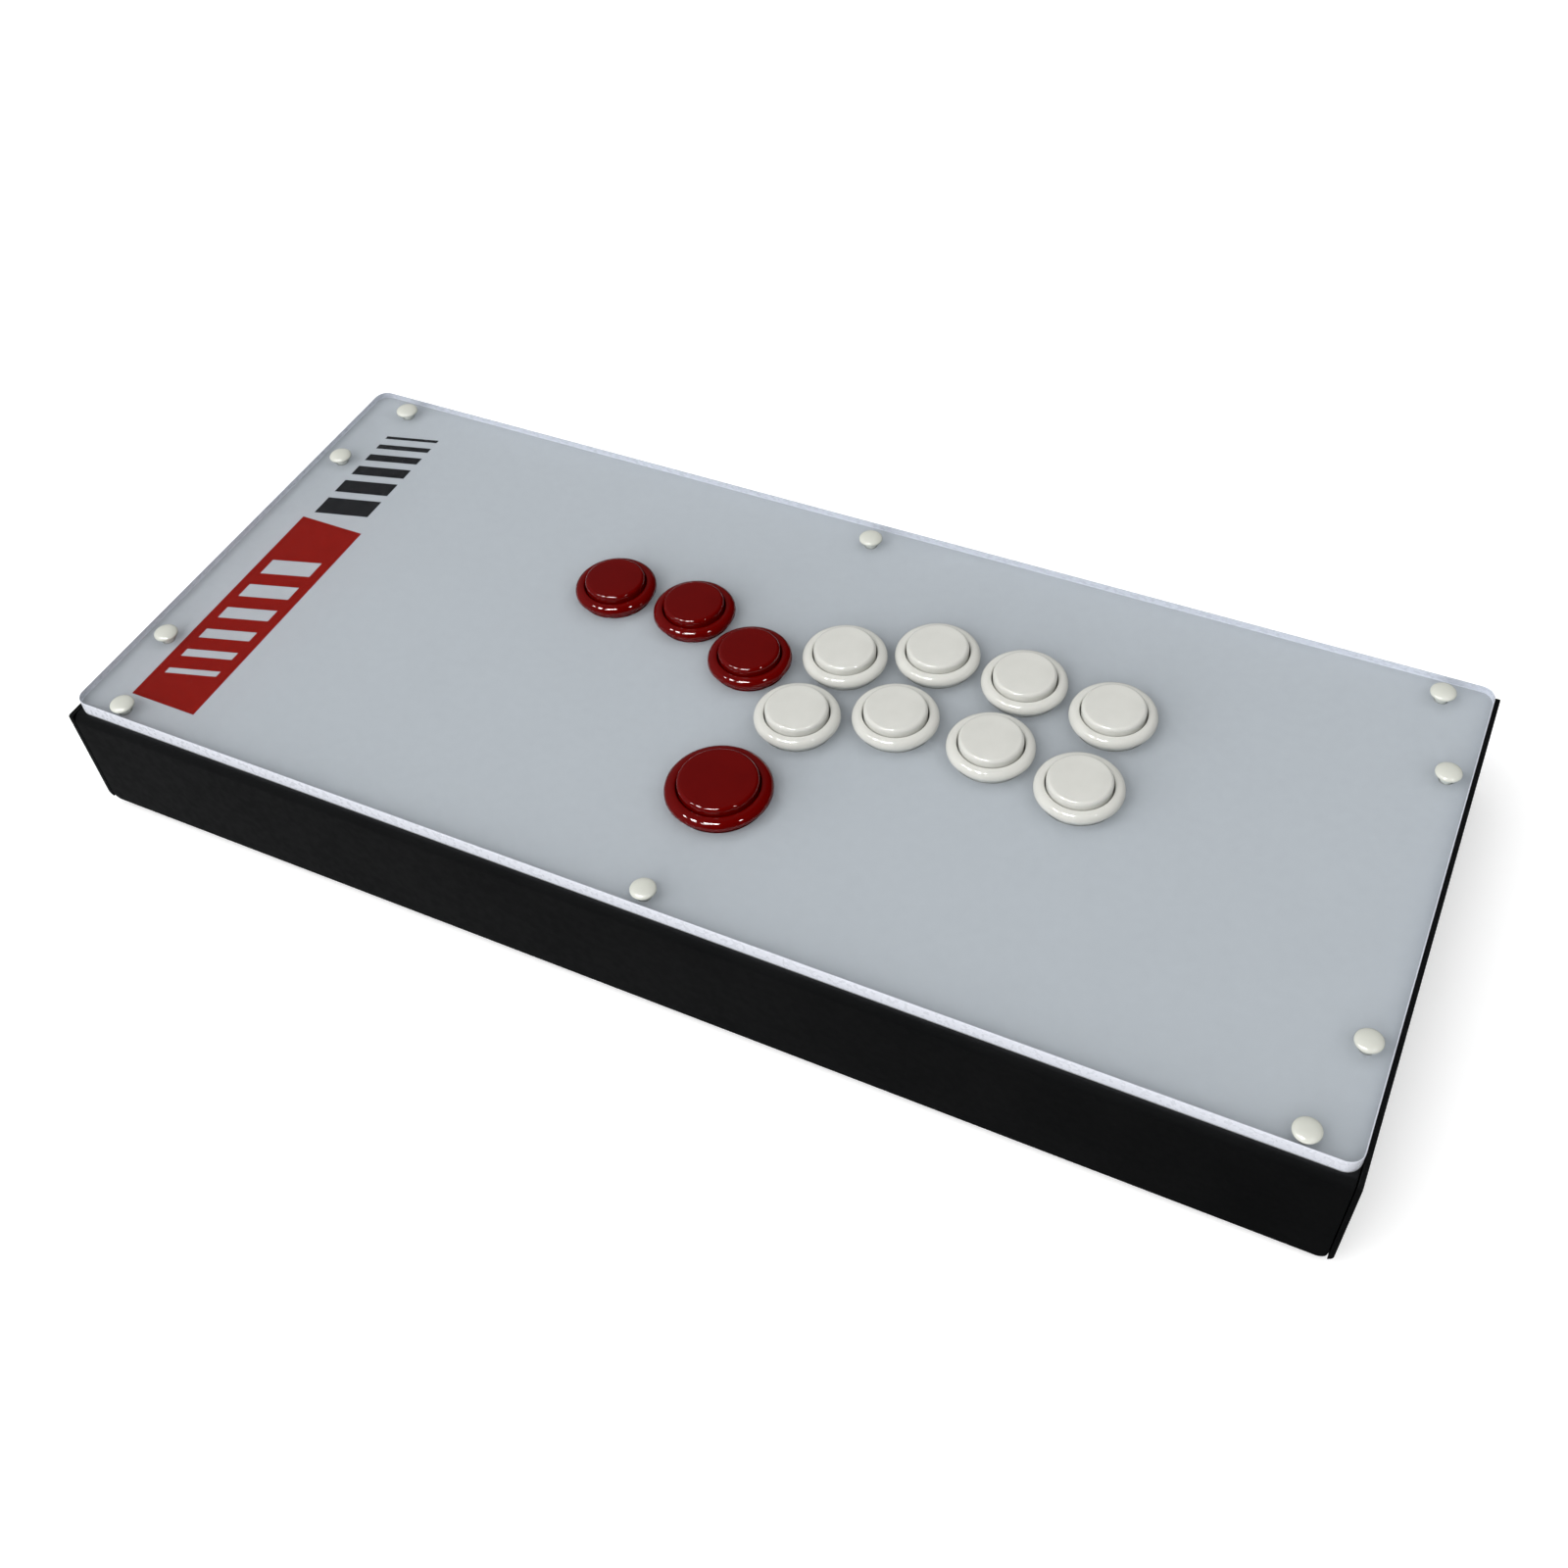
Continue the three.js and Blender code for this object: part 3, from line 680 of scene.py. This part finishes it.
def housing_mesh(barrel):
    size = SIZES[barrel]
    crest = size["mouth"] + 0.9 * MM
    base = 0.45 * MM
    bezel = [(size["bezel"] - 0.15 * MM, REST_GAP), (size["bezel"], REST_GAP + 0.15 * MM)]
    for a in range(0, 91, 6):
        t = math.radians(a)
        reach = size["bezel"] - crest
        bezel.append((crest + reach * math.cos(t), base + (BEZEL_HEIGHT - base) * math.sin(t)))
    lip = 0.5 * MM
    for a in range(0, 91, 15):
        t = math.radians(a)
        bezel.append((size["mouth"] + lip - lip * math.sin(t), BEZEL_HEIGHT - lip + lip * math.cos(t)))
    floor = -FLOOR_DEPTH
    profile = [
        (FLOOR_HOLE, floor - FLOOR_THICKNESS), (barrel - 0.5 * MM, floor - FLOOR_THICKNESS),
        (barrel, floor - FLOOR_THICKNESS + 0.5 * MM), (barrel, REST_GAP), *bezel,
        (size["mouth"], -SHOULDER), (size["bore"], -SHOULDER), (size["bore"], floor), (FLOOR_HOLE, floor),
    ]
    bm = bmesh.new()
    add_turned(bm, profile, 96)
    hole = barrel + HOLE_CLEARANCE
    top = -PANEL_STACK - 0.15 * MM
    for side in (-1, 1):
        wedge = [(side * (barrel - 0.3 * MM), top), (side * (hole + 0.9 * MM), top),
                 (side * (hole + 0.9 * MM), top - 0.8 * MM), (side * (barrel - 0.3 * MM), top - 3 * MM)]
        add_prism(bm, wedge, -3 * MM, 3 * MM, across)
    return smooth(mesh_from("housing", bm))


def plunger_mesh(barrel):
    size = SIZES[barrel]
    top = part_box("plunger_jump" if barrel == BARREL_30 else "plunger_left")[1].z - PANEL_TOP
    fillet, crown = 1.2 * MM, 0.12 * MM
    cap = size["cap"]
    edge = []
    for a in range(0, 91, 10):
        t = math.radians(a)
        edge.append((cap - fillet + fillet * math.cos(t), top - crown - fillet + fillet * math.sin(t)))
    flat = [((cap - fillet) * (1 - k / 6), top - crown * (1 - k / 6) ** 2) for k in range(1, 7)]
    flat[-1] = (0, top)
    inside_wall = cap - 1.2 * MM
    ceiling = top - 1.8 * MM
    flange = size["bore"] - 0.3 * MM
    flange_top = -SHOULDER - 0.3 * MM
    profile = [
        (0, -STEM_DEPTH), (STEM_RADIUS - 0.3 * MM, -STEM_DEPTH), (STEM_RADIUS, -STEM_DEPTH + 0.3 * MM),
        (STEM_RADIUS, ceiling), (inside_wall, ceiling), (inside_wall, flange_top - 1.5 * MM),
        (flange, flange_top - 1.5 * MM), (flange, flange_top), (cap, flange_top), *edge, *flat,
    ]
    return turned("plunger", profile, 96)


def switch_mesh():
    """Microswitch: a rim, the block below it, and the well that the plunger's stem runs in."""
    rim = -FLOOR_DEPTH + REST_GAP
    bm = bmesh.new()
    flange = rounded_rectangle(-8 * MM, 8 * MM, -4.4 * MM, 4.4 * MM, 1 * MM, 5)
    add_prism(bm, flange, rim, rim + 1.1 * MM, upright)
    body = new_object("switch_work", mesh_from("switch_work", bm))
    well = bmesh.new()
    add_prism(well, circle(0, 0, STEM_RADIUS + 0.4 * MM, 32), rim - 4.2 * MM, rim + 2 * MM, upright)
    lower = bmesh.new()
    block = rectangle(-6.3 * MM, 6.3 * MM, -2.9 * MM, 2.9 * MM)
    add_prism(lower, block, rim - SWITCH_DEPTH, rim + 0.4 * MM, upright)
    lower_body = new_object("switch_lower", mesh_from("switch_lower", lower))
    union = body.modifiers.new("join", "BOOLEAN")
    union.operation = "UNION"
    union.solver = "EXACT"
    union.object = lower_body
    bake_modifiers(body)
    bpy.data.objects.remove(lower_body)
    cut(body, well)
    bevelled(body, 0.2 * MM)
    return released(body, BLACK_NYLON)


def terminal_mesh():
    """A tab terminal with a hole in it."""
    rim = -FLOOR_DEPTH + REST_GAP
    bm = bmesh.new()
    outline = rectangle(-1.5 * MM, 1.5 * MM, rim - TERMINAL_DEPTH, rim - SWITCH_DEPTH + 0.1 * MM)
    add_prism(bm, outline, -0.3 * MM, 0.3 * MM, endways)
    blade = new_object("blade_work", mesh_from("blade_work", bm))
    eye = bmesh.new()
    add_prism(eye, circle(0, rim - 11 * MM, 0.6 * MM, 16), -1 * MM, 1 * MM, endways)
    cut(blade, eye)
    bevelled(blade, 0.08 * MM)
    return released(blade, BRASS)


def make_buttons():
    housings = {barrel: housing_mesh(barrel) for barrel in SIZES}
    plungers = {barrel: plunger_mesh(barrel) for barrel in SIZES}
    switch = switch_mesh()
    terminal = terminal_mesh()
    for name, colour, c in BUTTONS:
        barrel = barrel_radius(name)
        for part, mesh, body, node in (
            ("bezel", housings[barrel], CASE, f"housing_{name}"),
            ("cap", plungers[barrel], f"button_{name}", f"plunger_{name}"),
        ):
            piece = new_object(f"{part}_{name}", mesh.copy())
            piece.location = (c.x, c.y, PANEL_TOP)
            finish_piece(piece, body, f"{colour}_plastic", BUTTON_PLASTIC[colour], node)
        body = new_object(f"microswitch_{name}", switch)
        body.location = (c.x, c.y, PANEL_TOP)
        place_piece(body, CASE, "switch_plastic", f"switch_{name}")
        for side, dx in (("a", -TERMINAL_SPREAD), ("b", TERMINAL_SPREAD)):
            blade = new_object(f"terminal_{name}_{side}", terminal)
            blade.location = (c.x + dx, c.y, PANEL_TOP)
            place_piece(blade, CASE, "switch_plastic")


# ---------------------------------------------------------------- fastenings inside the case
TRAY_TOP = TRAY_LOW.z + SHEET
POST_RADIUS = 3.5 * MM
STANDOFF_RADIUS = 2.5 * MM
STANDOFF_INSET = 5 * MM
SCREW_RADIUS = 1.4 * MM
FUNCTION_POST_INSET = 4 * MM
FUNCTION_POST_RADIUS = 2 * MM
FUNCTION_STEM = 1.2 * MM


def tube_profile(radius, z0, z1, bore, bore_depth):
    """A post from z0 up to z1 with a threaded-size bore in its lower end."""
    chamfer = 0.25 * MM
    return [
        (0, z0 + bore_depth), (bore, z0 + bore_depth), (bore, z0), (radius - chamfer, z0),
        (radius, z0 + chamfer), (radius, z1), (0, z1),
    ]


def screw_profile(head, height, radius, length):
    """Pan head over a plain shank, heights from under the head; the recess is cut afterwards."""
    dome = [(head * math.cos(t), height * (0.45 + 0.55 * math.sin(t)))
            for t in (math.radians(a) for a in range(0, 61, 12))]
    return [(0, -length), (radius * 0.6, -length), (radius, -length + radius * 0.5), (radius, 0),
            (head, 0), *dome, (0, height)]


def screw_mesh(name, head, height, radius, length, material):
    bm = bmesh.new()
    add_turned(bm, screw_profile(head, height, radius, length), 40)
    screw = new_object(name, mesh_from(name, bm))
    arm, half = head * 0.55, head * 0.12
    for x, y in ((arm, half), (half, arm)):
        recess = bmesh.new()
        add_prism(recess, rectangle(-x, x, -y, y), height * 0.45, height * 1.5, upright)
        cut(screw, recess)
    smooth(screw.data, 35)
    return released(screw, material)


def make_case_screws():
    """Four long posts welded under the top take the screws that hold the tray."""
    foot = TRAY_TOP + 0.2 * MM
    profile = tube_profile(POST_RADIUS, foot, SHELL_HIGH.z - SHEET, SCREW_RADIUS, 9 * MM)
    post = coloured(turned("case_post", profile, 48), ZINC)
    screw = screw_mesh("case_screw", 2.9 * MM, 1.7 * MM, SCREW_RADIUS - REST_GAP, 8 * MM, DARK_SCREW)
    for i, (x, y) in enumerate(case_screw_places(), 1):
        piece = new_object(f"case_post_{i}", post)
        piece.location = (x, y, 0)
        place_piece(piece, CASE, "coated_steel")
        head = new_object(f"case_screw_{i}", screw)
        head.location = (x, y, TRAY_LOW.z)
        head.rotation_euler = (math.pi, 0, math.radians(20 + 31 * i))
        place_piece(head, CASE, "coated_steel")


def make_board_mounts():
    """Stand-offs and screws of the control board, and the two posts of the function board."""
    low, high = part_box("control_board")
    shank = BOARD_THICKNESS - REST_GAP
    profile = tube_profile(STANDOFF_RADIUS, 0, low.z - TRAY_TOP, 1 * MM, 3 * MM)
    standoff = coloured(turned("standoff", profile, 32), ZINC)
    screw = screw_mesh("board_screw", 2.4 * MM, 1.3 * MM, 1.2 * MM, shank, ZINC)
    for i, x in enumerate((low.x + STANDOFF_INSET, high.x - STANDOFF_INSET)):
        for j, y in enumerate((low.y + STANDOFF_INSET, high.y - STANDOFF_INSET)):
            post = new_object(f"standoff_{i}{j}", standoff)
            post.location = (x, y, TRAY_TOP)
            place_piece(post, CASE, "coated_steel")
            head = new_object(f"board_screw_{i}{j}", screw)
            head.location = (x, y, low.z + BOARD_THICKNESS)
            head.rotation_euler.z = math.radians(25 + 40 * i + 17 * j)
            place_piece(head, CASE, "circuit_board")
    low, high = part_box("function_board")
    length = SHELL_HIGH.y - SHEET - low.y - BOARD_THICKNESS
    profile = tube_profile(FUNCTION_POST_RADIUS, 0, length, 0.8 * MM, 3 * MM)
    post_mesh = coloured(turned("function_post", profile, 32), ZINC)
    small = screw_mesh("function_screw", 2 * MM, 1.1 * MM, 1 * MM, shank, ZINC)
    for i, x in enumerate((low.x + FUNCTION_POST_INSET, high.x - FUNCTION_POST_INSET)):
        z = (low.z + high.z) / 2
        post = new_object(f"function_post_{i}", post_mesh)
        post.rotation_euler.x = -math.pi / 2
        post.location = (x, low.y + BOARD_THICKNESS, z)
        place_piece(post, CASE, "coated_steel")
        head = new_object(f"function_screw_{i}", small)
        head.rotation_euler = (math.pi / 2, 0, 0)
        head.location = (x, low.y, z)
        place_piece(head, CASE, "circuit_board")


# ---------------------------------------------------------------- boards and socket
def board_piece(name, outline, z0, z1, material, bevel):
    """A part soldered to the control board."""
    bm = bmesh.new()
    add_prism(bm, outline, z0, z1, upright)
    piece = bevelled(new_object(name, mesh_from(name, bm)), bevel)
    finish_piece(piece, CASE, "circuit_board", material)


def make_processor_legs(chip_x, chip_y, chip_size, top):
    """Twelve legs on each side of the square chip."""
    length, width, height = 0.9 * MM, 0.36 * MM, 0.5 * MM
    legs = bmesh.new()
    for i in range(12):
        start = 1 * MM + i * (10 / 11) * MM - width / 2
        x, y = chip_x + start, chip_y + start
        for edge in (-length, chip_size):
            sideways = rectangle(chip_x + edge, chip_x + edge + length, y, y + width)
            lengthways = rectangle(x, x + width, chip_y + edge, chip_y + edge + length)
            add_prism(legs, sideways, top, top + height, upright)
            add_prism(legs, lengthways, top, top + height, upright)
    pins = new_object("processor_legs", mesh_from("processor_legs", legs))
    finish_piece(pins, CASE, "circuit_board", ZINC)


def make_control_board():
    low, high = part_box("control_board")
    top = low.z + BOARD_THICKNESS
    bm = bmesh.new()
    add_prism(bm, rounded_rectangle(low.x, high.x, low.y, high.y, 2 * MM, 6), low.z, top, upright)
    board = bevelled(new_object("control_pcb", mesh_from("control_pcb", bm)), 0.1 * MM, 1)
    finish_piece(board, CASE, "circuit_board", SOLDER_MASK, "control_board")
    cx, cy = (low.x + high.x) / 2, (low.y + high.y) / 2
    chip_x, chip_y, chip_size = cx - 18 * MM, cy - 14 * MM, 12 * MM
    chip = rectangle(chip_x, chip_x + chip_size, chip_y, chip_y + chip_size)
    board_piece("processor", chip, top, top + 1.4 * MM, BLACK_NYLON, 0.15 * MM)
    make_processor_legs(chip_x, chip_y, chip_size, top)
    can = rounded_rectangle(cx + 8 * MM, cx + 13 * MM, cy - 8 * MM, cy - 4 * MM, 1.2 * MM)
    board_piece("crystal", can, top, top + 1.2 * MM, ZINC, 0.2 * MM)
    header = rectangle(low.x + 10 * MM, high.x - 10 * MM, low.y + 2 * MM, low.y + 7 * MM)
    board_piece("header", header, top, top + 8 * MM, PALE_NYLON, 0.25 * MM)
    parts = bmesh.new()
    for i in range(8):
        x, y = cx + (-22 + 6 * i) * MM, cy + 4 * MM + (i % 2) * 3.2 * MM
        add_prism(parts, rectangle(x, x + 2 * MM, y, y + 1.2 * MM), top, top + 0.7 * MM, upright)
    finish_piece(new_object("resistors", mesh_from("resistors", parts)), CASE, "circuit_board", BLACK_NYLON)


def make_socket():
    low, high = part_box("usb_socket")
    cx, cz = (low.x + high.x) / 2, (low.z + high.z) / 2
    bm = bmesh.new()
    add_prism(bm, rounded_rectangle(low.x, high.x, low.z, high.z, 0.5 * MM, 4), low.y, high.y, across)
    shell = new_object("cable_socket", mesh_from("cable_socket", bm))
    mouth = bmesh.new()
    w, h, chamfer = 6 * MM, 5.3 * MM, 2.2 * MM
    back = high.y - 11 * MM
    outline = [(cx - w, cz - h), (cx + w, cz - h), (cx + w, cz + h - chamfer), (cx + w - chamfer, cz + h),
               (cx - w + chamfer, cz + h), (cx - w, cz + h - chamfer)]
    add_prism(mouth, outline, back, high.y + 1 * MM, across)
    cut(shell, mouth)
    bevelled(shell, 0.25 * MM, 2)
    finish_piece(shell, CASE, "socket_plastic", BLACK_NYLON, "usb_socket")
    tongue_x, tongue_z = 3.2 * MM, 2.4 * MM
    block = bmesh.new()
    outline = rectangle(cx - tongue_x, cx + tongue_x, cz - tongue_z, cz + tongue_z)
    add_prism(block, outline, back, high.y - 6 * MM, across)
    tongue = bevelled(new_object("socket_tongue", mesh_from("socket_tongue", block)), 0.3 * MM)
    finish_piece(tongue, CASE, "socket_plastic", PALE_NYLON)
    contacts = bmesh.new()
    for side in (-1, 1):
        for dx in (-1.25, 1.25):
            x, z = cx + dx * MM, cz + side * tongue_z
            z0, z1 = sorted((z, z + side * 0.15 * MM))
            strip = rectangle(x - 0.5 * MM, x + 0.5 * MM, z0, z1)
            add_prism(contacts, strip, back + 0.1 * MM, high.y - 6.4 * MM, across)
    strips = new_object("socket_contacts", mesh_from("socket_contacts", contacts))
    finish_piece(strips, CASE, "socket_plastic", BRASS)


def make_function_buttons():
    low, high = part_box("function_board")
    front = low.y + BOARD_THICKNESS
    pcb = bmesh.new()
    add_prism(pcb, rounded_rectangle(low.x, high.x, low.z, high.z, 1 * MM, 5), low.y, front, across)
    board = bevelled(new_object("function_pcb", mesh_from("function_pcb", pcb)), 0.1 * MM, 1)
    finish_piece(board, CASE, "circuit_board", SOLDER_MASK, "function_board")
    for i in (1, 2, 3):
        make_tact_switch(i, front, high.y)
        make_rear_cap(i)


def make_tact_switch(i, base, face):
    c = centre_of(f"function_cap_{i}")
    half = 3 * MM
    case = bmesh.new()
    outline = rounded_rectangle(c.x - half, c.x + half, c.z - half, c.z + half, 0.4 * MM, 3)
    add_prism(case, outline, base, face, across)
    tact = new_object(f"tact_switch_{i}", mesh_from("tact_switch", case))
    well = bmesh.new()
    add_prism(well, circle(c.x, c.z, FUNCTION_STEM + 0.4 * MM, 32), face - 1.2 * MM, face + 1 * MM, across)
    cut(tact, well)
    bevelled(tact, 0.12 * MM)
    finish_piece(tact, CASE, "circuit_board", BLACK_NYLON)


def make_rear_cap(i):
    """A stem, the flange that stops it behind the wall, and the dished cap outside."""
    low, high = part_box(f"function_cap_{i}")
    cap, flange, fillet, thick = 3.5 * MM, 4.5 * MM, 0.6 * MM, 1.2 * MM
    wall = SHELL_HIGH.y - SHEET - REST_GAP
    edge = [(cap - fillet + fillet * math.cos(t), high.y - fillet + fillet * math.sin(t))
            for t in (math.radians(a) for a in range(0, 91, 15))]
    profile = [(0, low.y), (FUNCTION_STEM, low.y), (FUNCTION_STEM, wall - thick),
               (flange - 0.1 * MM, wall - thick), (flange, wall - thick + 0.1 * MM), (flange, wall),
               (cap, wall), *edge, (1.8 * MM, high.y), (1.2 * MM, high.y - 0.12 * MM),
               (0, high.y - 0.16 * MM)]
    piece = new_object(f"rear_cap_{i}", turned("rear_cap", profile, 64))
    piece.rotation_euler.x = -math.pi / 2
    piece.location = ((low.x + high.x) / 2, 0, (low.z + high.z) / 2)
    finish_piece(piece, f"function_{i}", "function_cap_plastic", CAP_BLACK, f"function_cap_{i}")


# ---------------------------------------------------------------- wiring
WIRE_RADIUS = 0.65 * MM


def make_wire(name, points, material):
    """A wire through given points, as a mesh."""
    curve = bpy.data.curves.new(name, "CURVE")
    curve.dimensions = "3D"
    curve.bevel_depth = WIRE_RADIUS
    curve.bevel_resolution = 3
    curve.resolution_u = 10
    curve.use_fill_caps = True
    spline = curve.splines.new("BEZIER")
    spline.bezier_points.add(len(points) - 1)
    for knot, point in zip(spline.bezier_points, points):
        knot.co = point
        knot.handle_left_type = knot.handle_right_type = "AUTO"
    work = new_object(name, curve)
    mesh = evaluated_mesh(work)
    bpy.data.objects.remove(work)
    smooth(coloured(mesh, material), 60)
    place_piece(new_object(name, mesh), CASE, "switch_plastic")


def sleeve_mesh():
    """The insulated quick-connect sleeve that slides on a terminal."""
    bm = bmesh.new()
    tip = -FLOOR_DEPTH + REST_GAP - TERMINAL_DEPTH
    outline = rounded_rectangle(-1.3 * MM, 1.3 * MM, -2.2 * MM, 2.2 * MM, 0.8 * MM, 4)
    add_prism(bm, outline, tip - 5 * MM, tip + 5 * MM, upright)
    return released(bevelled(new_object("sleeve_work", mesh_from("sleeve", bm)), 0.4 * MM, 3), SLEEVE_BLUE)


def make_wiring():
    """One signal wire and one earth wire from each switch to the board's header, run as a flat loom."""
    sleeve = sleeve_mesh()
    low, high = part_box("control_board")
    header_y = low.y + 4.5 * MM
    start_x = low.x + 12 * MM
    pitch = (high.x - low.x - 24 * MM) / 23
    tip = PANEL_TOP - FLOOR_DEPTH - 18 * MM
    order = sorted(BUTTONS, key=lambda button: button[2].x)
    for index, (name, _, c) in enumerate(order):
        for side, dx, material in (("a", -TERMINAL_SPREAD, WIRE_RED), ("b", TERMINAL_SPREAD, WIRE_BLACK)):
            lane = 2 * index + (side == "b")
            collar = new_object(f"sleeve_{name}_{side}", sleeve)
            collar.location = (c.x + dx, c.y, PANEL_TOP)
            place_piece(collar, CASE, "switch_plastic")
            x_board = start_x + lane * pitch
            lane_y = TRAY_LOW.y + (52 + 1.7 * lane) * MM
            z = TRAY_TOP + WIRE_RADIUS + 0.2 * MM
            rise = 3.2 * MM if c.y > lane_y else 0
            points = [
                (c.x + dx, c.y, tip + 1 * MM),
                (c.x + dx, c.y + (lane_y - c.y) * 0.12, (tip + z) / 2 + rise),
                (c.x + dx - 4 * MM, c.y + (lane_y - c.y) * 0.8, z + rise / 2),
                (c.x + dx - 14 * MM, lane_y, z),
                (c.x + dx - 24 * MM, lane_y, z),
                (x_board + 26 * MM + lane * 0.4 * MM, lane_y, z),
                (x_board + 3 * MM, lane_y + 10 * MM, z + 1 * MM),
                (x_board, header_y - 14 * MM, z + 8 * MM),
                (x_board, header_y, low.z + 10.5 * MM),
            ]
            too_short_for_lane = c.x + dx - 24 * MM < x_board + 30 * MM
            if too_short_for_lane:
                points = points[:4] + points[6:]
            make_wire(f"wire_{name}_{side}", points, material)


# ---------------------------------------------------------------- stage, lights and camera
def look_from(azimuth, elevation, roll):
    a, e = math.radians(azimuth), math.radians(elevation)
    back = Vector((math.sin(a) * math.cos(e), -math.cos(a) * math.cos(e), math.sin(e)))
    turn = (-back).to_track_quat("-Z", "Y")
    return turn @ Quaternion((0, 0, 1), math.radians(roll))


def make_camera():
    camera = bpy.data.cameras.new("camera")
    camera.sensor_width = 36
    camera.lens = 39.14
    camera.clip_start, camera.clip_end = 0.01, 50
    holder = new_object("camera", camera)
    holder.location = Vector((0.1844, -0.3293, 0.3912 + PANEL_TOP))
    holder.rotation_mode = "QUATERNION"
    holder.rotation_quaternion = look_from(28.796, 49.10, -4.45)
    bpy.context.scene.camera = holder


def aimed(name, light, location, target):
    holder = new_object(name, light)
    holder.location = location
    aim = Vector(target) - Vector(location)
    holder.rotation_mode = "QUATERNION"
    holder.rotation_quaternion = aim.to_track_quat("-Z", "Y")
    return holder


def sun(name, direction, strength, spread):
    light = bpy.data.lights.new(name, "SUN")
    light.energy = strength
    light.angle = math.radians(spread)
    return aimed(name, light, direction, (0, 0, 0))


def area_light(name, location, target, size, power):
    light = bpy.data.lights.new(name, "AREA")
    light.shape = "RECTANGLE"
    light.size, light.size_y = size
    light.energy = power
    return aimed(name, light, location, target)


def make_room():
    """A dim room that is lighter towards -X, which the case's coat mirrors, behind a white backdrop."""
    world = bpy.data.worlds.new("studio")
    world.use_nodes = True
    tree = world.node_tree
    direction = tree.nodes.new("ShaderNodeTexCoord")
    axes = tree.nodes.new("ShaderNodeSeparateXYZ")
    tree.links.new(direction.outputs["Generated"], axes.inputs["Vector"])
    slope = tree.nodes.new("ShaderNodeMapRange")
    for key, value in (("From Min", 0.1), ("From Max", -0.7), ("To Min", 0.008), ("To Max", 0.15)):
        slope.inputs[key].default_value = value
    tree.links.new(axes.outputs["X"], slope.inputs["Value"])
    background = tree.nodes["Background"]
    background.inputs["Color"].default_value = (0.95, 0.97, 1.0, 1)
    tree.links.new(slope.outputs["Result"], background.inputs["Strength"])
    backdrop = tree.nodes.new("ShaderNodeBackground")
    backdrop.inputs["Color"].default_value = (1, 1, 1, 1)
    path = tree.nodes.new("ShaderNodeLightPath")
    seen = tree.nodes.new("ShaderNodeMixShader")
    tree.links.new(path.outputs["Is Camera Ray"], seen.inputs["Fac"])
    tree.links.new(background.outputs["Background"], seen.inputs[1])
    tree.links.new(backdrop.outputs["Background"], seen.inputs[2])
    tree.links.new(seen.outputs["Shader"], tree.nodes["World Output"].inputs["Surface"])
    bpy.context.scene.world = world


SOFT_SUNS = {
    "front_left_sun": {"direction": (-0.6, -0.95, 0.75), "strength": 2.5, "spread": 80},
    "overhead_sun": {"direction": (0.15, -0.1, 1.0), "strength": 1.85, "spread": 100},
}
TUBE_HEIGHT = 2
TUBE_WIDTH = 0.2
TUBES = (
    # x, y, length, power
    (-0.1, -0.7, 0.6, 34), (-0.85, -0.7, 0.28, 14), (-1.35, -0.7, 0.22, 10),
    (-0.3, -1.2, 0.4, 10), (-0.9, -1.2, 0.3, 7), (1.3, -0.4, 0.14, 9),
)


def make_lights():
    """Wide soft light that no gloss mirrors, and ceiling tubes that only streak the glossy plastic."""
    plastic = bpy.data.collections.new("glossy_plastic")
    for piece in bpy.data.objects:
        if piece.type == "MESH" and any(m in (RED, WHITE, NYLON) for m in piece.data.materials):
            plastic.objects.link(piece)
    for name, values in SOFT_SUNS.items():
        sun(name, **values).visible_glossy = False
    for i, (x, y, length, power) in enumerate(TUBES):
        tube = area_light(f"tube_{i}", (x, y, TUBE_HEIGHT), (x, y, 0), (length, TUBE_WIDTH), power)
        tube.visible_diffuse = False
        tube.light_linking.receiver_collection = plastic


def make_floor():
    """A white floor that glows a little, so that shadows stay faint."""
    bm = bmesh.new()
    add_prism(bm, rounded_rectangle(-6, 6, -6, 6, 2, 12), -0.01, 0, upright)
    floor = new_object("studio_floor", mesh_from("studio_floor", bm))
    material = principled("floor", (0.93, 0.93, 0.93), 0.6, Specular_IOR_Level=0.2, Emission_Strength=0.3)
    shader_of(material).inputs["Emission Color"].default_value = (1, 1, 1, 1)
    vary(material, (0.93, 0.93, 0.93), (0.94, 0.94, 0.94), 3, 0.6, 0.7)
    floor.data.materials.append(material)
    floor.visible_glossy = False


make_camera()
make_room()
make_floor()
make_top_shell()
make_base_tray()
make_cover()
make_art_sheet()
make_rivets()
make_feet()
make_buttons()
make_case_screws()
make_board_mounts()
make_control_board()
make_socket()
make_function_buttons()
make_wiring()
make_lights()
bpy.context.scene.view_settings.view_transform = "Standard"
